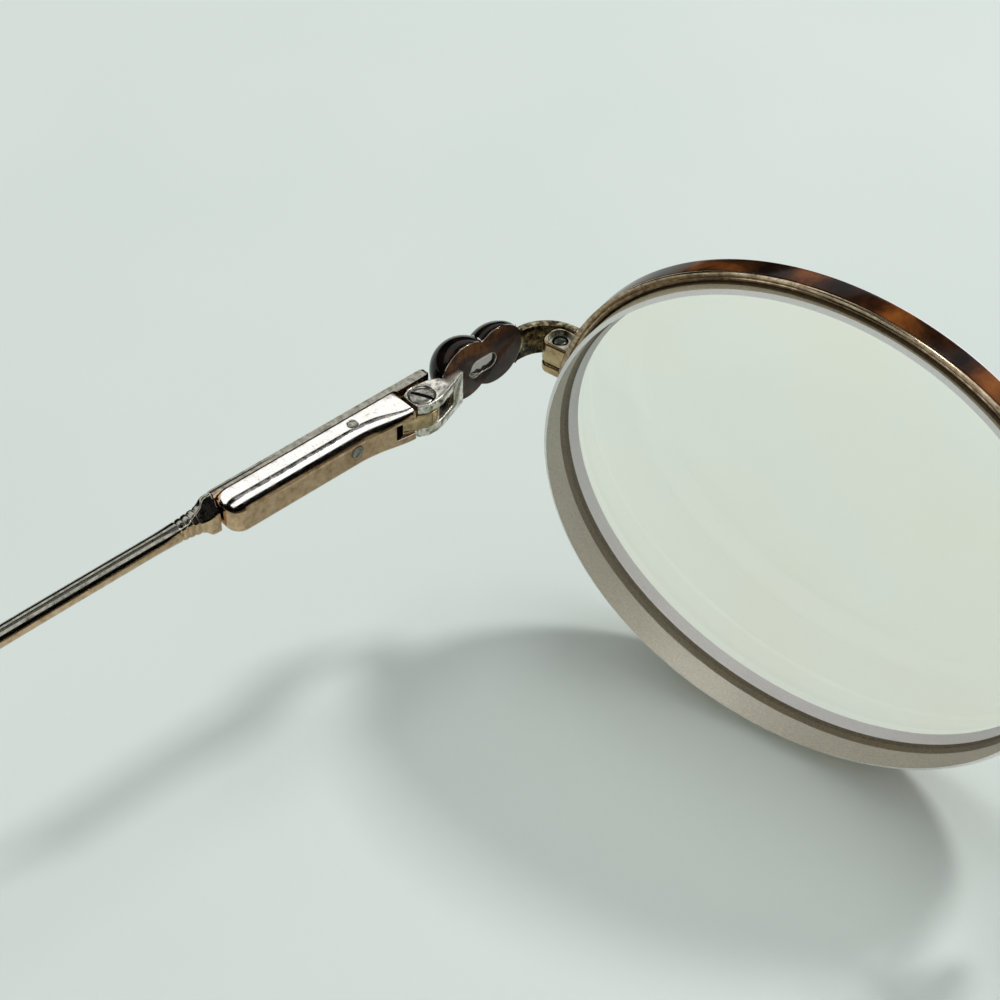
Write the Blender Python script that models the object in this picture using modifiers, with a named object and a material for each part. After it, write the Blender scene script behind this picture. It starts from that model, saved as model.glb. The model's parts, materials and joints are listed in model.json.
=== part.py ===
"""Round metal eyeglasses: rimmed lenses, scalloped endpieces and sprung temples.

Metres, +Z up. The glasses stand open on their rims and temple tips, looking along -Y.
Every piece is drawn once, for the wearer's left (+X), and mirrored to the right.
Two frames carry the drawing. The lens frame has its origin at the middle of the rim's
back face, with X to the temple, Y to the back and Z up. The hinge frame has its origin
at the top of the hinge screw, with X outwards, Y along the temple and Z up.
"""

import math

import bmesh
import bpy
from mathutils import Matrix, Vector

# Rims and lenses
RIM_HALF_WIDTH = 0.0240
RIM_HALF_HEIGHT = 0.0221
BRIDGE_WIDTH = 0.0190
WRAP_ANGLE = math.radians(6.8)
BASE_CURVE = 0.130
RIM_DEPTH = 0.0022
RIM_LIP = 0.00060
FLANGE_WIDTH = 0.00030
COVER_WALL = 0.00032
GROOVE_DEPTH = 0.00030
GROOVE_HALF_WIDTH = 0.00050
LENS_CLEARANCE = 0.00010
LENS_FRONT_DEPTH = 0.00300
LENS_BACK_CURVE = 0.060
LENS_BACK_HEIGHT = -0.00195
OPTICAL_CENTRE_X = -0.0016
OPTICAL_CENTRE_Z = 0.0041
LENS_CHAMFER = 0.00035
RIM_STEPS = 52

# Closing block and its screw, at the rim's temple side
LOCK_OUTSIDE_RIM = 0.00050
LOCK_Y = -0.00125
BLOCK_OUTER_WALL = 0.00127
BLOCK_HALF_DEPTH = 0.00125
BLOCK_UPPER_HEIGHT = 0.00215
BLOCK_LOWER_HEIGHT = 0.00100
BLOCK_SPLIT = 0.00012
BLOCK_ROUND = 0.00025
BLOCK_CORNER = 0.00080
BLOCK_FRONT_CORNER = 0.00095
LOCK_HEAD_RADIUS = 0.00062
LOCK_HEAD_DEPTH = 0.00055
LOCK_SHANK_RADIUS = 0.00042
LOCK_RECESS_RADIUS = 0.00100
LOCK_RECESS_DEPTH = 0.00035

# Endpiece, from the block to the hinge
STRAP_THICKNESS = 0.00072
STRAP_HEIGHT = 0.00295
STRAP_BEND_RADIUS = 0.00385
LINK_FACE = 0.00050
LINK_RADIUS = 0.00275
LINK_PITCH = 0.00320
LINK_FIRST = -0.00520
LINK_MIDDLE = -0.00095
LINK_EDGE = 0.00055
NEAR_DOME = 0.00262
FAR_DOME = 0.00205
LINK_SLOT_LENGTH = 0.00260
LINK_SLOT_HEIGHT = 0.00140
LINK_DIMPLE_RADIUS = 0.00055
LINK_DIMPLE_DEPTH = 0.00018
LOBE_SIDES = 26

# Hinge
HINGE_FORWARD = 0.01427
HINGE_OUTSIDE_RIM = 0.00376
HINGE_RISE = 0.00595
TEMPLE_SPLAY = math.radians(4.9)
HINGE_HEIGHT = 0.00320
LEAF_THICKNESS = 0.00088
LEAF_CORNER_RADIUS = 0.00146
LEAF_BACK = 0.00116
LEAF_HALF_WIDTH = 0.00127
HINGE_PLATE = 0.00055
HINGE_PLATE_LENGTH = 0.00185
HINGE_GAP_START = 0.00045
TONGUE_CLEARANCE = 0.00006
TONGUE_RADIUS = 0.00138
TONGUE_LENGTH = 0.00250
SCREW_HEAD_RADIUS = 0.00105
SCREW_HEAD_DEPTH = 0.00050
SCREW_SHANK_RADIUS = 0.00055
SCREW_SLOT_WIDTH = 0.00030
SCREW_SLOT_DEPTH = 0.00028
SCREW_SLOT_ANGLE = math.radians(26)
RUNNING_CLEARANCE = 0.00006
SEAT_GAP = 0.00004

# Spring box and what it holds
BOX_MOUTH = 0.00330
BOX_END = 0.01890
BOX_INNER_FACE = -0.00045
BOX_OUTER_FACE = 0.00174
BOX_HEIGHT = 0.00310
BOX_ROUND = 0.00120
BOX_LOWER_ROUND = 0.00050
BOX_FLARE = 0.00065
BOX_FLARE_LENGTH = 0.0033
CHANNEL_START_X = 0.00010
CHANNEL_END_X = 0.00150
CHANNEL_HEIGHT = 0.00185
CHANNEL_END = 0.01680
ROD_RADIUS = 0.00030
SHANK_LENGTH = 0.00180
STOP_START = 0.00540
STOP_LENGTH = 0.00240
SPRING_WIRE_RADIUS = 0.00010
SPRING_RADIUS = 0.00050
SPRING_TURNS = 8
SPRING_PITCH = 0.00066
SPRING_TRAVEL = 0.00090
NUT_LENGTH = 0.00110
NUT_RADIUS = 0.00058
RIVET_RADIUS = 0.00040
RIVET_X = 0.00095
STUD_RADIUS = 0.00052

# Temple bar, wire and tip
BAR_THICKNESS = 0.00068
TAB_START = -0.00220
WIRE_RADIUS = 0.00076
WIRE_X = 0.00180
NECK_INNER_FACE = 0.00090
NECK_SLOPE = 0.00115
TEMPLE_LENGTH = 0.1400
EAR_BEND_RADIUS = 0.032
EAR_BEND_ANGLE = math.radians(40)
TEMPLE_BOW = 0.0080
TIP_LENGTH = 0.058
TIP_HALF_HEIGHT = 0.0027
TIP_HALF_WIDTH = 0.0014
TIP_MOUTH_RADIUS = 0.00125
TIP_SIDES = 12
TIP_CAP = 0.0026
TIP_SHOULDER = 0.0018
TIP_SHOULDER_FILL = 0.80

# Bridge and nose pads
BRIDGE_ANGLE = math.radians(153)
BRIDGE_RADIUS = 0.00095
BRIDGE_RISE = 0.0030
BRIDGE_REACH = 0.0016
COVER_GAP = 0.00135
ARM_RADIUS = 0.00045
ARM_ANGLE = math.radians(184)
PAD_INSIDE_RIM = 0.0012
PAD_Y = 0.0066
PAD_Z = -0.0030
PAD_SPLAY = math.radians(-30)
PAD_LEAN = math.radians(-14)
PAD_HALF_HEIGHT = 0.0066
PAD_HALF_WIDTH = 0.0036
PAD_THICKNESS = 0.0023
PAD_BOX_HEIGHT = 0.0024
PAD_BOX_WIDTH = 0.0023
PAD_BOX_DEPTH = 0.0018
PAD_BOX_WALL = 0.00050
PAD_PIN_RADIUS = 0.00038

SQUEEZE = RIM_HALF_HEIGHT / RIM_HALF_WIDTH
LENS_SPACING = 2 * RIM_HALF_WIDTH + BRIDGE_WIDTH
LOCK_X = RIM_HALF_WIDTH + LOCK_OUTSIDE_RIM
HINGE_OUT = RIM_HALF_WIDTH + HINGE_OUTSIDE_RIM
PAD_X = -RIM_HALF_WIDTH - PAD_INSIDE_RIM
WALL_RADIUS = RIM_HALF_WIDTH - COVER_WALL
LIP_RADIUS = WALL_RADIUS - RIM_LIP
LENS_RADIUS = LIP_RADIUS - LENS_CLEARANCE
EYEWIRE_DEPTH = RIM_DEPTH - 0.00026
GROOVE_MIDDLE = EYEWIRE_DEPTH / 2
MEAN_SQUARE = RIM_HALF_WIDTH**2 * (1 + SQUEEZE**2) / 2
BOX_START = LEAF_CORNER_RADIUS + RUNNING_CLEARANCE
BAR_INNER_FACE = BOX_OUTER_FACE + SEAT_GAP
BAR_OUTER_FACE = BAR_INNER_FACE + BAR_THICKNESS
TAB_INNER_FACE = BOX_START
ROD_X = (CHANNEL_START_X + CHANNEL_END_X) / 2
ROD_Z = -BOX_HEIGHT / 2
FRAME_HEIGHT = RIM_HALF_HEIGHT
BLOCK_BACK = LOCK_Y + BLOCK_HALF_DEPTH
BLOCK_FRONT = LOCK_Y - BLOCK_HALF_DEPTH

MODEL_NAME = "round_eyeglasses"


def clear_scene():
    for obj in list(bpy.data.objects):
        bpy.data.objects.remove(obj, do_unlink=True)


def new_collection(name):
    collection = bpy.data.collections.new(name)
    bpy.context.scene.collection.children.link(collection)
    return collection


def new_material(name, colour, roughness, metallic=0.0, transmission=0.0):
    material = bpy.data.materials.new(name)
    material.use_nodes = True
    shader = material.node_tree.nodes["Principled BSDF"]
    shader.inputs["Base Color"].default_value = (*colour, 1.0)
    shader.inputs["Roughness"].default_value = roughness
    shader.inputs["Metallic"].default_value = metallic
    shader.inputs["Transmission Weight"].default_value = transmission
    return material


clear_scene()
PARTS = new_collection(MODEL_NAME)
CUTTERS = new_collection("cutters")
PLACES = {}

ROSE_GOLD = new_material("rose_gold_plate", (0.56, 0.40, 0.30), 0.22, metallic=1.0)
PALE_GOLD = new_material("pale_gold_plate", (0.75, 0.70, 0.60), 0.15, metallic=1.0)
BRASS = new_material("worn_brass", (0.42, 0.34, 0.22), 0.35, metallic=1.0)
STEEL = new_material("screw_steel", (0.45, 0.46, 0.45), 0.30, metallic=1.0)
TORTOISE = new_material("tortoise_acetate", (0.14, 0.05, 0.02), 0.18)
GLASS = new_material("tinted_lens", (0.86, 0.84, 0.78), 0.02, transmission=1.0)
PAD_SILICONE = new_material("pad_silicone", (0.85, 0.86, 0.84), 0.25, transmission=0.6)

LENS_FRAME = Matrix.Translation((LENS_SPACING / 2, 0.0, FRAME_HEIGHT)) @ Matrix.Rotation(
    WRAP_ANGLE, 4, "Z"
)
HINGE_FRAME = Matrix.Translation(
    (LENS_SPACING / 2 + HINGE_OUT, HINGE_FORWARD, FRAME_HEIGHT + HINGE_RISE)
) @ Matrix.Rotation(-TEMPLE_SPLAY, 4, "Z")
MIRROR = Matrix.Scale(-1, 4, (1, 0, 0))
PAD_FRAME = (
    LENS_FRAME
    @ Matrix.Translation((PAD_X, PAD_Y, PAD_Z))
    @ Matrix.Rotation(PAD_SPLAY, 4, "Z")
    @ Matrix.Rotation(PAD_LEAN, 4, "Y")
)


def finish_mesh(bm, name):
    """Closes a bmesh's loose seams, turns its faces outwards and makes a mesh of it."""
    bmesh.ops.remove_doubles(bm, verts=bm.verts, dist=1e-7)
    bmesh.ops.recalc_face_normals(bm, faces=bm.faces)
    mesh = bpy.data.meshes.new(name)
    bm.to_mesh(mesh)
    bm.free()
    return mesh


def add_piece(name, bm, frame, material):
    """One sub-part, drawn about the world's origin until its frame places it."""
    obj = bpy.data.objects.new(name, finish_mesh(bm, name))
    obj.data.materials.append(material)
    PARTS.objects.link(obj)
    PLACES[name] = frame
    return obj


def add_cutter(name, bm):
    """A helper for a Boolean, in the drawing frame of the piece that it works on."""
    obj = bpy.data.objects.new(name, finish_mesh(bm, name))
    obj.hide_render = True
    obj.display_type = "WIRE"
    CUTTERS.objects.link(obj)
    return obj


def combine(target, other, operation="DIFFERENCE"):
    """A Boolean on the target: by default, the other shape is cut out of it."""
    modifier = target.modifiers.new(other.name, "BOOLEAN")
    modifier.operation = operation
    modifier.solver = "EXACT"
    modifier.object = other


def round_edges(target, width, segments=2, angle=30):
    modifier = target.modifiers.new("round_edges", "BEVEL")
    modifier.width = width
    modifier.segments = segments
    modifier.limit_method = "ANGLE"
    modifier.angle_limit = math.radians(angle)


def block(low, high):
    """A box between two corners."""
    bm = bmesh.new()
    bmesh.ops.create_cube(bm, size=1.0)
    size = [h - l for l, h in zip(low, high)]
    middle = [(l + h) / 2 for l, h in zip(low, high)]
    bmesh.ops.scale(bm, vec=size, verts=bm.verts)
    bmesh.ops.translate(bm, vec=middle, verts=bm.verts)
    return bm


def drawn_shape(obj):
    """The finished shape of a helper object as a bmesh, its seams welded; the helper goes."""
    CUTTERS.objects.link(obj)
    bpy.context.view_layer.update()
    drawn = obj.evaluated_get(bpy.context.evaluated_depsgraph_get())
    bm = bmesh.new()
    bm.from_mesh(bpy.data.meshes.new_from_object(drawn))
    bmesh.ops.remove_doubles(bm, verts=bm.verts, dist=1e-7)
    bpy.data.objects.remove(obj, do_unlink=True)
    return bm


def turned(profile, sides=20, closed=False):
    """A solid turned about Z, from (radius, height) points; a closed profile makes a ring."""
    mesh = bpy.data.meshes.new("profile")
    count = len(profile)
    edges = [(i, i + 1) for i in range(count - 1)]
    if closed:
        edges.append((count - 1, 0))
    mesh.from_pydata([(radius, 0.0, height) for radius, height in profile], edges, [])
    obj = bpy.data.objects.new("profile", mesh)
    screw = obj.modifiers.new("turn", "SCREW")
    screw.steps = sides
    screw.render_steps = sides
    screw.use_merge_vertices = True
    screw.merge_threshold = 1e-6
    return drawn_shape(obj)


def cylinder(radius, bottom, top, sides=20):
    bm = bmesh.new()
    bmesh.ops.create_cone(
        bm,
        cap_ends=True,
        segments=sides,
        radius1=radius,
        radius2=radius,
        depth=top - bottom,
        matrix=Matrix.Translation((0.0, 0.0, (top + bottom) / 2)),
    )
    return bm


def moved(bm, matrix):
    bmesh.ops.transform(bm, matrix=matrix, verts=bm.verts)
    return bm


def plate(outline, bottom, top):
    """A flat outline in XY, as thick as from bottom to top."""
    curve = bpy.data.curves.new("outline", "CURVE")
    curve.dimensions = "2D"
    curve.fill_mode = "BOTH"
    curve.extrude = (top - bottom) / 2
    spline = curve.splines.new("POLY")
    spline.points.add(len(outline) - 1)
    for point, (x, y) in zip(spline.points, outline):
        point.co = (x, y, 0.0, 1.0)
    spline.use_cyclic_u = True
    bm = drawn_shape(bpy.data.objects.new("outline", curve))
    return moved(bm, Matrix.Translation((0.0, 0.0, (bottom + top) / 2)))


def loft(rings):
    """A closed skin over a row of rings that have the same number of points."""
    bm = bmesh.new()
    rows = [[bm.verts.new(point) for point in ring] for ring in rings]
    for row, after in zip(rows, rows[1:]):
        for i in range(len(row)):
            j = (i + 1) % len(row)
            bm.faces.new((row[i], row[j], after[j], after[i]))
    bm.faces.new(rows[0][::-1])
    bm.faces.new(rows[-1])
    bmesh.ops.recalc_face_normals(bm, faces=bm.faces)
    return bm


def arc(centre, radius, start, end, steps):
    """Points on an arc in XY, both ends included, in degrees."""
    angles = [math.radians(start + (end - start) * i / steps) for i in range(steps + 1)]
    return [(centre[0] + radius * math.cos(a), centre[1] + radius * math.sin(a)) for a in angles]


def tube(name, points, radius, frame, material, resolution=2):
    """A round wire along a list of points, made a mesh with its caps welded."""
    curve = bpy.data.curves.new(name, "CURVE")
    curve.dimensions = "3D"
    curve.bevel_depth = radius
    curve.bevel_resolution = resolution
    curve.use_fill_caps = True
    spline = curve.splines.new("POLY")
    spline.points.add(len(points) - 1)
    for target, point in zip(spline.points, points):
        target.co = (*point, 1.0)
    bm = drawn_shape(bpy.data.objects.new(name + "_curve", curve))
    return add_piece(name, bm, frame, material)


def bezier(corners, steps):
    """Points on a cubic curve through its first and last corner."""
    points = []
    for i in range(steps + 1):
        t = i / steps
        weights = ((1 - t) ** 3, 3 * t * (1 - t) ** 2, 3 * t * t * (1 - t), t**3)
        points.append(sum((w * Vector(c) for w, c in zip(weights, corners)), Vector()))
    return points


def bowed(x, z):
    """How far back the lens's base curve carries a point of the rim."""
    return (x * x + z * z - MEAN_SQUARE) / (2 * BASE_CURVE)


def rim_point(radius, depth, angle):
    """A point of the rim in the lens frame, by its depth in front of the rim's back."""
    x = radius * math.cos(angle)
    z = radius * math.sin(angle) * SQUEEZE
    return Vector((x, bowed(x, z) - depth, z))


def rim_sweep(section, start, end):
    """A section of (radius, depth) points swept round the rim between two angles."""
    steps = max(2, round(RIM_STEPS * abs(end - start) / math.tau))
    angles = [start + (end - start) * i / steps for i in range(steps + 1)]
    return loft([[rim_point(r, d, a) for r, d in section] for a in angles])


def block_angle(drop):
    """Angle round the rim of a point this far under the top of the closing block."""
    return math.atan2((HINGE_RISE - drop) / SQUEEZE, LOCK_X)


SPLIT_ANGLE = block_angle(BLOCK_UPPER_HEIGHT)
BLOCK_TOP_ANGLE = block_angle(0.0)
BLOCK_LOW_ANGLE = block_angle(BLOCK_UPPER_HEIGHT + BLOCK_LOWER_HEIGHT)
COVER_GAP_ANGLE = COVER_GAP / RIM_HALF_WIDTH


def eyewire():
    """Grooved wire that closes round the lens, with a flange that shows at the back."""
    groove_back = GROOVE_MIDDLE - GROOVE_HALF_WIDTH
    groove_front = GROOVE_MIDDLE + GROOVE_HALF_WIDTH
    section = [
        (RIM_HALF_WIDTH, 0.0),
        (RIM_HALF_WIDTH, FLANGE_WIDTH),
        (WALL_RADIUS, FLANGE_WIDTH),
        (WALL_RADIUS, EYEWIRE_DEPTH),
        (LIP_RADIUS, EYEWIRE_DEPTH),
        (LIP_RADIUS, groove_front),
        (LIP_RADIUS + GROOVE_DEPTH, GROOVE_MIDDLE),
        (LIP_RADIUS, groove_back),
        (LIP_RADIUS, 0.0),
    ]
    half_split = BLOCK_SPLIT / 2 / RIM_HALF_WIDTH
    bm = rim_sweep(section, SPLIT_ANGLE + half_split, SPLIT_ANGLE + math.tau - half_split)
    return add_piece("left_eyewire", bm, LENS_FRAME, ROSE_GOLD)


def rim_covers():
    """Tortoise rim cover in two lengths, with room for the block and the bridge foot."""
    inner = WALL_RADIUS + SEAT_GAP
    nose = EYEWIRE_DEPTH + SEAT_GAP
    section = [
        (RIM_HALF_WIDTH, FLANGE_WIDTH + SEAT_GAP),
        (RIM_HALF_WIDTH, RIM_DEPTH - 0.0003),
        (RIM_HALF_WIDTH - 0.0002, RIM_DEPTH),
        (LIP_RADIUS + 0.0001, RIM_DEPTH),
        (LIP_RADIUS + 0.0001, nose),
        (inner, nose),
        (inner, FLANGE_WIDTH + SEAT_GAP),
    ]
    upper = (BLOCK_TOP_ANGLE + COVER_GAP_ANGLE / 2, BRIDGE_ANGLE - COVER_GAP_ANGLE)
    lower = (BRIDGE_ANGLE + COVER_GAP_ANGLE, BLOCK_LOW_ANGLE + math.tau - COVER_GAP_ANGLE / 2)
    for name, (start, end) in (("upper", upper), ("lower", lower)):
        bm = rim_sweep(section, start, end)
        add_piece(f"left_rim_cover_{name}", bm, LENS_FRAME, TORTOISE)


def lens_back(x, z):
    """Back face of the lens, hollowed about an optical centre that is off the middle."""
    across = (x - OPTICAL_CENTRE_X) ** 2 + (z - OPTICAL_CENTRE_Z) ** 2
    return LENS_BACK_HEIGHT + across / (2 * LENS_BACK_CURVE)


def lens():
    """Minus lens: bulging front, bevel in the groove, edge that stands out behind the rim."""
    angles = [math.tau * i / RIM_STEPS for i in range(RIM_STEPS)]
    face_radii = [LENS_RADIUS * f for f in (0.05, 0.55)]
    bevel_width = GROOVE_DEPTH - LENS_CLEARANCE

    def ring(radius, depth):
        return [rim_point(radius, depth, a) for a in angles]

    def back_ring(radius, raise_by):
        points = ring(radius, 0.0)
        return [Vector((p.x, lens_back(p.x, p.z) + raise_by, p.z)) for p in points]

    rings = [ring(r, LENS_FRONT_DEPTH) for r in face_radii]
    rings.append(ring(LENS_RADIUS, LENS_FRONT_DEPTH))
    rings.append(ring(LENS_RADIUS, GROOVE_MIDDLE + bevel_width * 1.6))
    rings.append(ring(LENS_RADIUS + LENS_CLEARANCE + bevel_width, GROOVE_MIDDLE))
    rings.append(ring(LENS_RADIUS, GROOVE_MIDDLE - bevel_width * 1.6))
    rings.append(back_ring(LENS_RADIUS, -LENS_CHAMFER))
    rings.append(back_ring(LENS_RADIUS - LENS_CHAMFER, 0.0))
    rings += [back_ring(r, 0.0) for r in reversed(face_radii)]
    return add_piece("left_lens", loft(rings), LENS_FRAME, GLASS)


def rim_clearance(start, end):
    """The rim's outer shape, to be cut from what is brazed to the eyewire's wall."""
    far = RIM_DEPTH + 0.003
    section = [
        (RIM_HALF_WIDTH - 0.003, -0.003),
        (RIM_HALF_WIDTH + SEAT_GAP, -0.003),
        (RIM_HALF_WIDTH + SEAT_GAP, FLANGE_WIDTH + SEAT_GAP),
        (WALL_RADIUS + SEAT_GAP, FLANGE_WIDTH + SEAT_GAP),
        (WALL_RADIUS + SEAT_GAP, far),
        (RIM_HALF_WIDTH - 0.003, far),
    ]
    return rim_sweep(section, start, end)


def closing_block():
    """Two halves of the block that draws the eyewire shut, and the screw through them."""
    rim = add_cutter("rim_at_block", rim_clearance(BLOCK_LOW_ANGLE - 0.3, BLOCK_TOP_ANGLE + 0.3))
    inner = WALL_RADIUS * math.cos(BLOCK_TOP_ANGLE) - 0.0010
    outer = LOCK_X + BLOCK_OUTER_WALL
    top = HINGE_RISE
    split = top - BLOCK_UPPER_HEIGHT
    bottom = split - BLOCK_LOWER_HEIGHT
    heights = {
        "left_closing_block_upper": (split + BLOCK_SPLIT / 2, top),
        "left_closing_block_lower": (bottom, split - BLOCK_SPLIT / 2),
    }
    bore = LOCK_SHANK_RADIUS + RUNNING_CLEARANCE
    recess = top - LOCK_RECESS_DEPTH
    bores = turned(
        [
            (0.0, top + 0.001),
            (LOCK_RECESS_RADIUS, top + 0.001),
            (LOCK_RECESS_RADIUS, recess),
            (LOCK_HEAD_RADIUS + RUNNING_CLEARANCE, recess),
            (LOCK_HEAD_RADIUS + RUNNING_CLEARANCE, recess - LOCK_HEAD_DEPTH),
            (bore, recess - LOCK_HEAD_DEPTH),
            (bore, bottom - 0.001),
            (0.0, bottom - 0.001),
        ],
        16,
    )
    lock_place = Matrix.Translation((LOCK_X, LOCK_Y, 0.0))
    hole = add_cutter("lock_bore", moved(bores, lock_place))
    for name, (low, high) in heights.items():
        corner = (outer - BLOCK_CORNER, BLOCK_BACK - BLOCK_CORNER)
        front = (outer - BLOCK_FRONT_CORNER, BLOCK_FRONT + BLOCK_FRONT_CORNER)
        outline = [(inner, BLOCK_FRONT), *arc(front, BLOCK_FRONT_CORNER, 270, 360, 4)]
        outline += [*arc(corner, BLOCK_CORNER, 0, 90, 6), (inner, BLOCK_BACK)]
        half = add_piece(name, plate(outline, low, high), LENS_FRAME, ROSE_GOLD)
        round_edges(half, BLOCK_ROUND, angle=60)
        combine(half, rim)
        combine(half, hole)
    head_top = recess + 0.00012
    profile = [
        (0.0, head_top),
        (LOCK_HEAD_RADIUS * 0.55, head_top - 0.00004),
        (LOCK_HEAD_RADIUS, head_top - 0.0002),
        (LOCK_HEAD_RADIUS, recess - LOCK_HEAD_DEPTH + SEAT_GAP),
        (LOCK_SHANK_RADIUS, recess - LOCK_HEAD_DEPTH + SEAT_GAP),
        (LOCK_SHANK_RADIUS, bottom + 0.0001),
        (0.0, bottom + 0.0001),
    ]
    screw = moved(turned(profile, 16), lock_place)
    add_piece("left_rim_lock_screw", screw, LENS_FRAME, STEEL)


def endpiece_strap():
    """Flat strap in front of the block, bent back to carry the link."""
    hinge_to_lens = HINGE_FRAME.inverted() @ LENS_FRAME
    start = hinge_to_lens @ Vector((RIM_HALF_WIDTH - 0.0002, BLOCK_FRONT - SEAT_GAP, 0.0))
    sweep = WRAP_ANGLE + TEMPLE_SPLAY
    outer = LINK_FACE + STRAP_THICKNESS
    inner_radius = STRAP_BEND_RADIUS - STRAP_THICKNESS
    middle_x = outer - STRAP_BEND_RADIUS
    clear = (inner_radius - (start.x - middle_x) * math.sin(sweep)) / math.cos(sweep)
    centre = (middle_x, start.y + clear)
    link_end = LINK_FIRST - LINK_PITCH - LINK_RADIUS + 0.0012
    turn = 90 - math.degrees(sweep)
    outer_arc = arc(centre, STRAP_BEND_RADIUS, 0, -turn, 9)
    inner_arc = arc(centre, inner_radius, -turn, 0, 9)
    reach = (inner_arc[0][0] - start.x) / math.cos(sweep)
    step = (-reach * math.cos(sweep), -reach * math.sin(sweep))
    last_outer = (outer_arc[-1][0] + step[0], outer_arc[-1][1] + step[1])
    last_inner = (inner_arc[0][0] + step[0], inner_arc[0][1] + step[1])
    outline = [(outer, link_end), *outer_arc, last_outer, last_inner, *inner_arc]
    outline.append((LINK_FACE, link_end))
    bm = plate(outline, -STRAP_HEIGHT, 0.0)
    strap = add_piece("left_endpiece_strap", bm, HINGE_FRAME, ROSE_GOLD)
    lobe = moved(cylinder(LINK_RADIUS + SEAT_GAP, -LINK_RADIUS, LINK_RADIUS, 40), link_lobe(1))
    combine(strap, add_cutter("link_end_clearance", lobe))
    return strap


def link_lobe(number):
    """Place of a lobe's middle, with its own Z pointing outwards."""
    forward = LINK_FIRST - LINK_PITCH * number
    place = Matrix.Translation((LINK_FACE, forward, LINK_MIDDLE))
    return place @ Matrix.Rotation(math.radians(90), 4, "Y")


def endpiece_link():
    """Two domed lobes run into one link, slotted through, with a flat inner face."""

    def lobe(number):
        height = (NEAR_DOME, FAR_DOME)[number]
        sphere = (LINK_RADIUS**2 + height**2) / (2 * height)
        rise = LINK_EDGE + height - sphere
        steep = math.asin(LINK_RADIUS / sphere)
        dome = [steep * i / 7 for i in range(8)]
        profile = [(sphere * math.sin(a), rise + sphere * math.cos(a)) for a in dome]
        depth = -0.0010 - 0.0003 * number
        whole = profile + [(LINK_RADIUS, depth), (0.0, depth)]
        turn = Matrix.Rotation(number * math.pi / LOBE_SIDES, 4, "Z")
        return moved(turned(whole, LOBE_SIDES), link_lobe(number) @ turn)

    link = add_piece("left_endpiece_link", lobe(0), HINGE_FRAME, PALE_GOLD)
    combine(link, add_cutter("link_second_lobe", lobe(1)), "UNION")
    reach = 2 * LINK_RADIUS
    low = (-LINK_RADIUS, LINK_FIRST - LINK_PITCH - reach, LINK_MIDDLE - reach)
    flat = block(low, (LINK_FACE, LINK_FIRST + reach, LINK_MIDDLE + reach))
    combine(link, add_cutter("link_flat", flat))
    half = (LINK_SLOT_LENGTH - LINK_SLOT_HEIGHT) / 2
    radius = LINK_SLOT_HEIGHT / 2
    ends = arc((half, 0.0), radius, -90, 90, 8) + arc((-half, 0.0), radius, 90, 270, 8)
    slot_middle = LINK_FIRST - LINK_PITCH / 2 - 0.0002
    upright = Matrix.Translation((LINK_FACE, slot_middle, LINK_MIDDLE - 0.0002))
    across = Matrix(((0, 0, 1, 0), (1, 0, 0, 0), (0, 1, 0, 0), (0, 0, 0, 1)))
    through = LINK_EDGE + NEAR_DOME + 0.001
    slot = moved(plate(ends, -through, through), upright @ across)
    dimple_place = upright @ Matrix.Translation((0.0, half + 0.0003, -0.0003)) @ across
    dimple = moved(cylinder(LINK_DIMPLE_RADIUS, -0.001, LINK_DIMPLE_DEPTH, 16), dimple_place)
    combine(link, add_cutter("link_dimple", dimple))
    combine(link, add_cutter("link_slot", slot))
    return link


def front_hinge():
    """Base plate on the link with two leaves, one over and one under the tongue."""
    plate_face = LINK_FACE - SEAT_GAP
    plate_inner = plate_face - HINGE_PLATE
    rear = LINK_FIRST + LINK_RADIUS + SEAT_GAP
    front = rear - HINGE_PLATE_LENGTH
    corner_x = math.sqrt(LEAF_CORNER_RADIUS**2 - LEAF_BACK**2)
    outline = [
        (plate_face, front),
        (plate_face, rear),
        (plate_face + 0.0002, rear),
        (LEAF_HALF_WIDTH - 0.0002, -LEAF_CORNER_RADIUS),
        (LEAF_HALF_WIDTH, LEAF_BACK - 0.0008),
        (corner_x, LEAF_BACK),
        (0.0, LEAF_BACK + 0.00004),
        (-corner_x, LEAF_BACK),
        (-LEAF_HALF_WIDTH, LEAF_BACK - 0.0008),
        (-LEAF_HALF_WIDTH, -0.0006),
        (-LEAF_HALF_WIDTH + 0.0001, -LEAF_BACK),
        (plate_inner, front),
    ]
    bm = plate(outline, -HINGE_HEIGHT, 0.0)
    hinge = add_piece("left_front_hinge", bm, HINGE_FRAME, PALE_GOLD)
    gap = block(
        (-0.004, rear - HINGE_GAP_START, -HINGE_HEIGHT + LEAF_THICKNESS),
        (0.004, 0.004, -LEAF_THICKNESS),
    )
    combine(hinge, add_cutter("tongue_gap", gap))
    bore = SCREW_SHANK_RADIUS + RUNNING_CLEARANCE
    seat = SCREW_HEAD_RADIUS + RUNNING_CLEARANCE
    profile = [
        (0.0, 0.001),
        (seat, 0.001),
        (seat, -0.0001),
        (bore, -SCREW_HEAD_DEPTH),
        (bore, -HINGE_HEIGHT - 0.001),
        (0.0, -HINGE_HEIGHT - 0.001),
    ]
    combine(hinge, add_cutter("hinge_bore", turned(profile, 24)))
    return hinge


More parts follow.
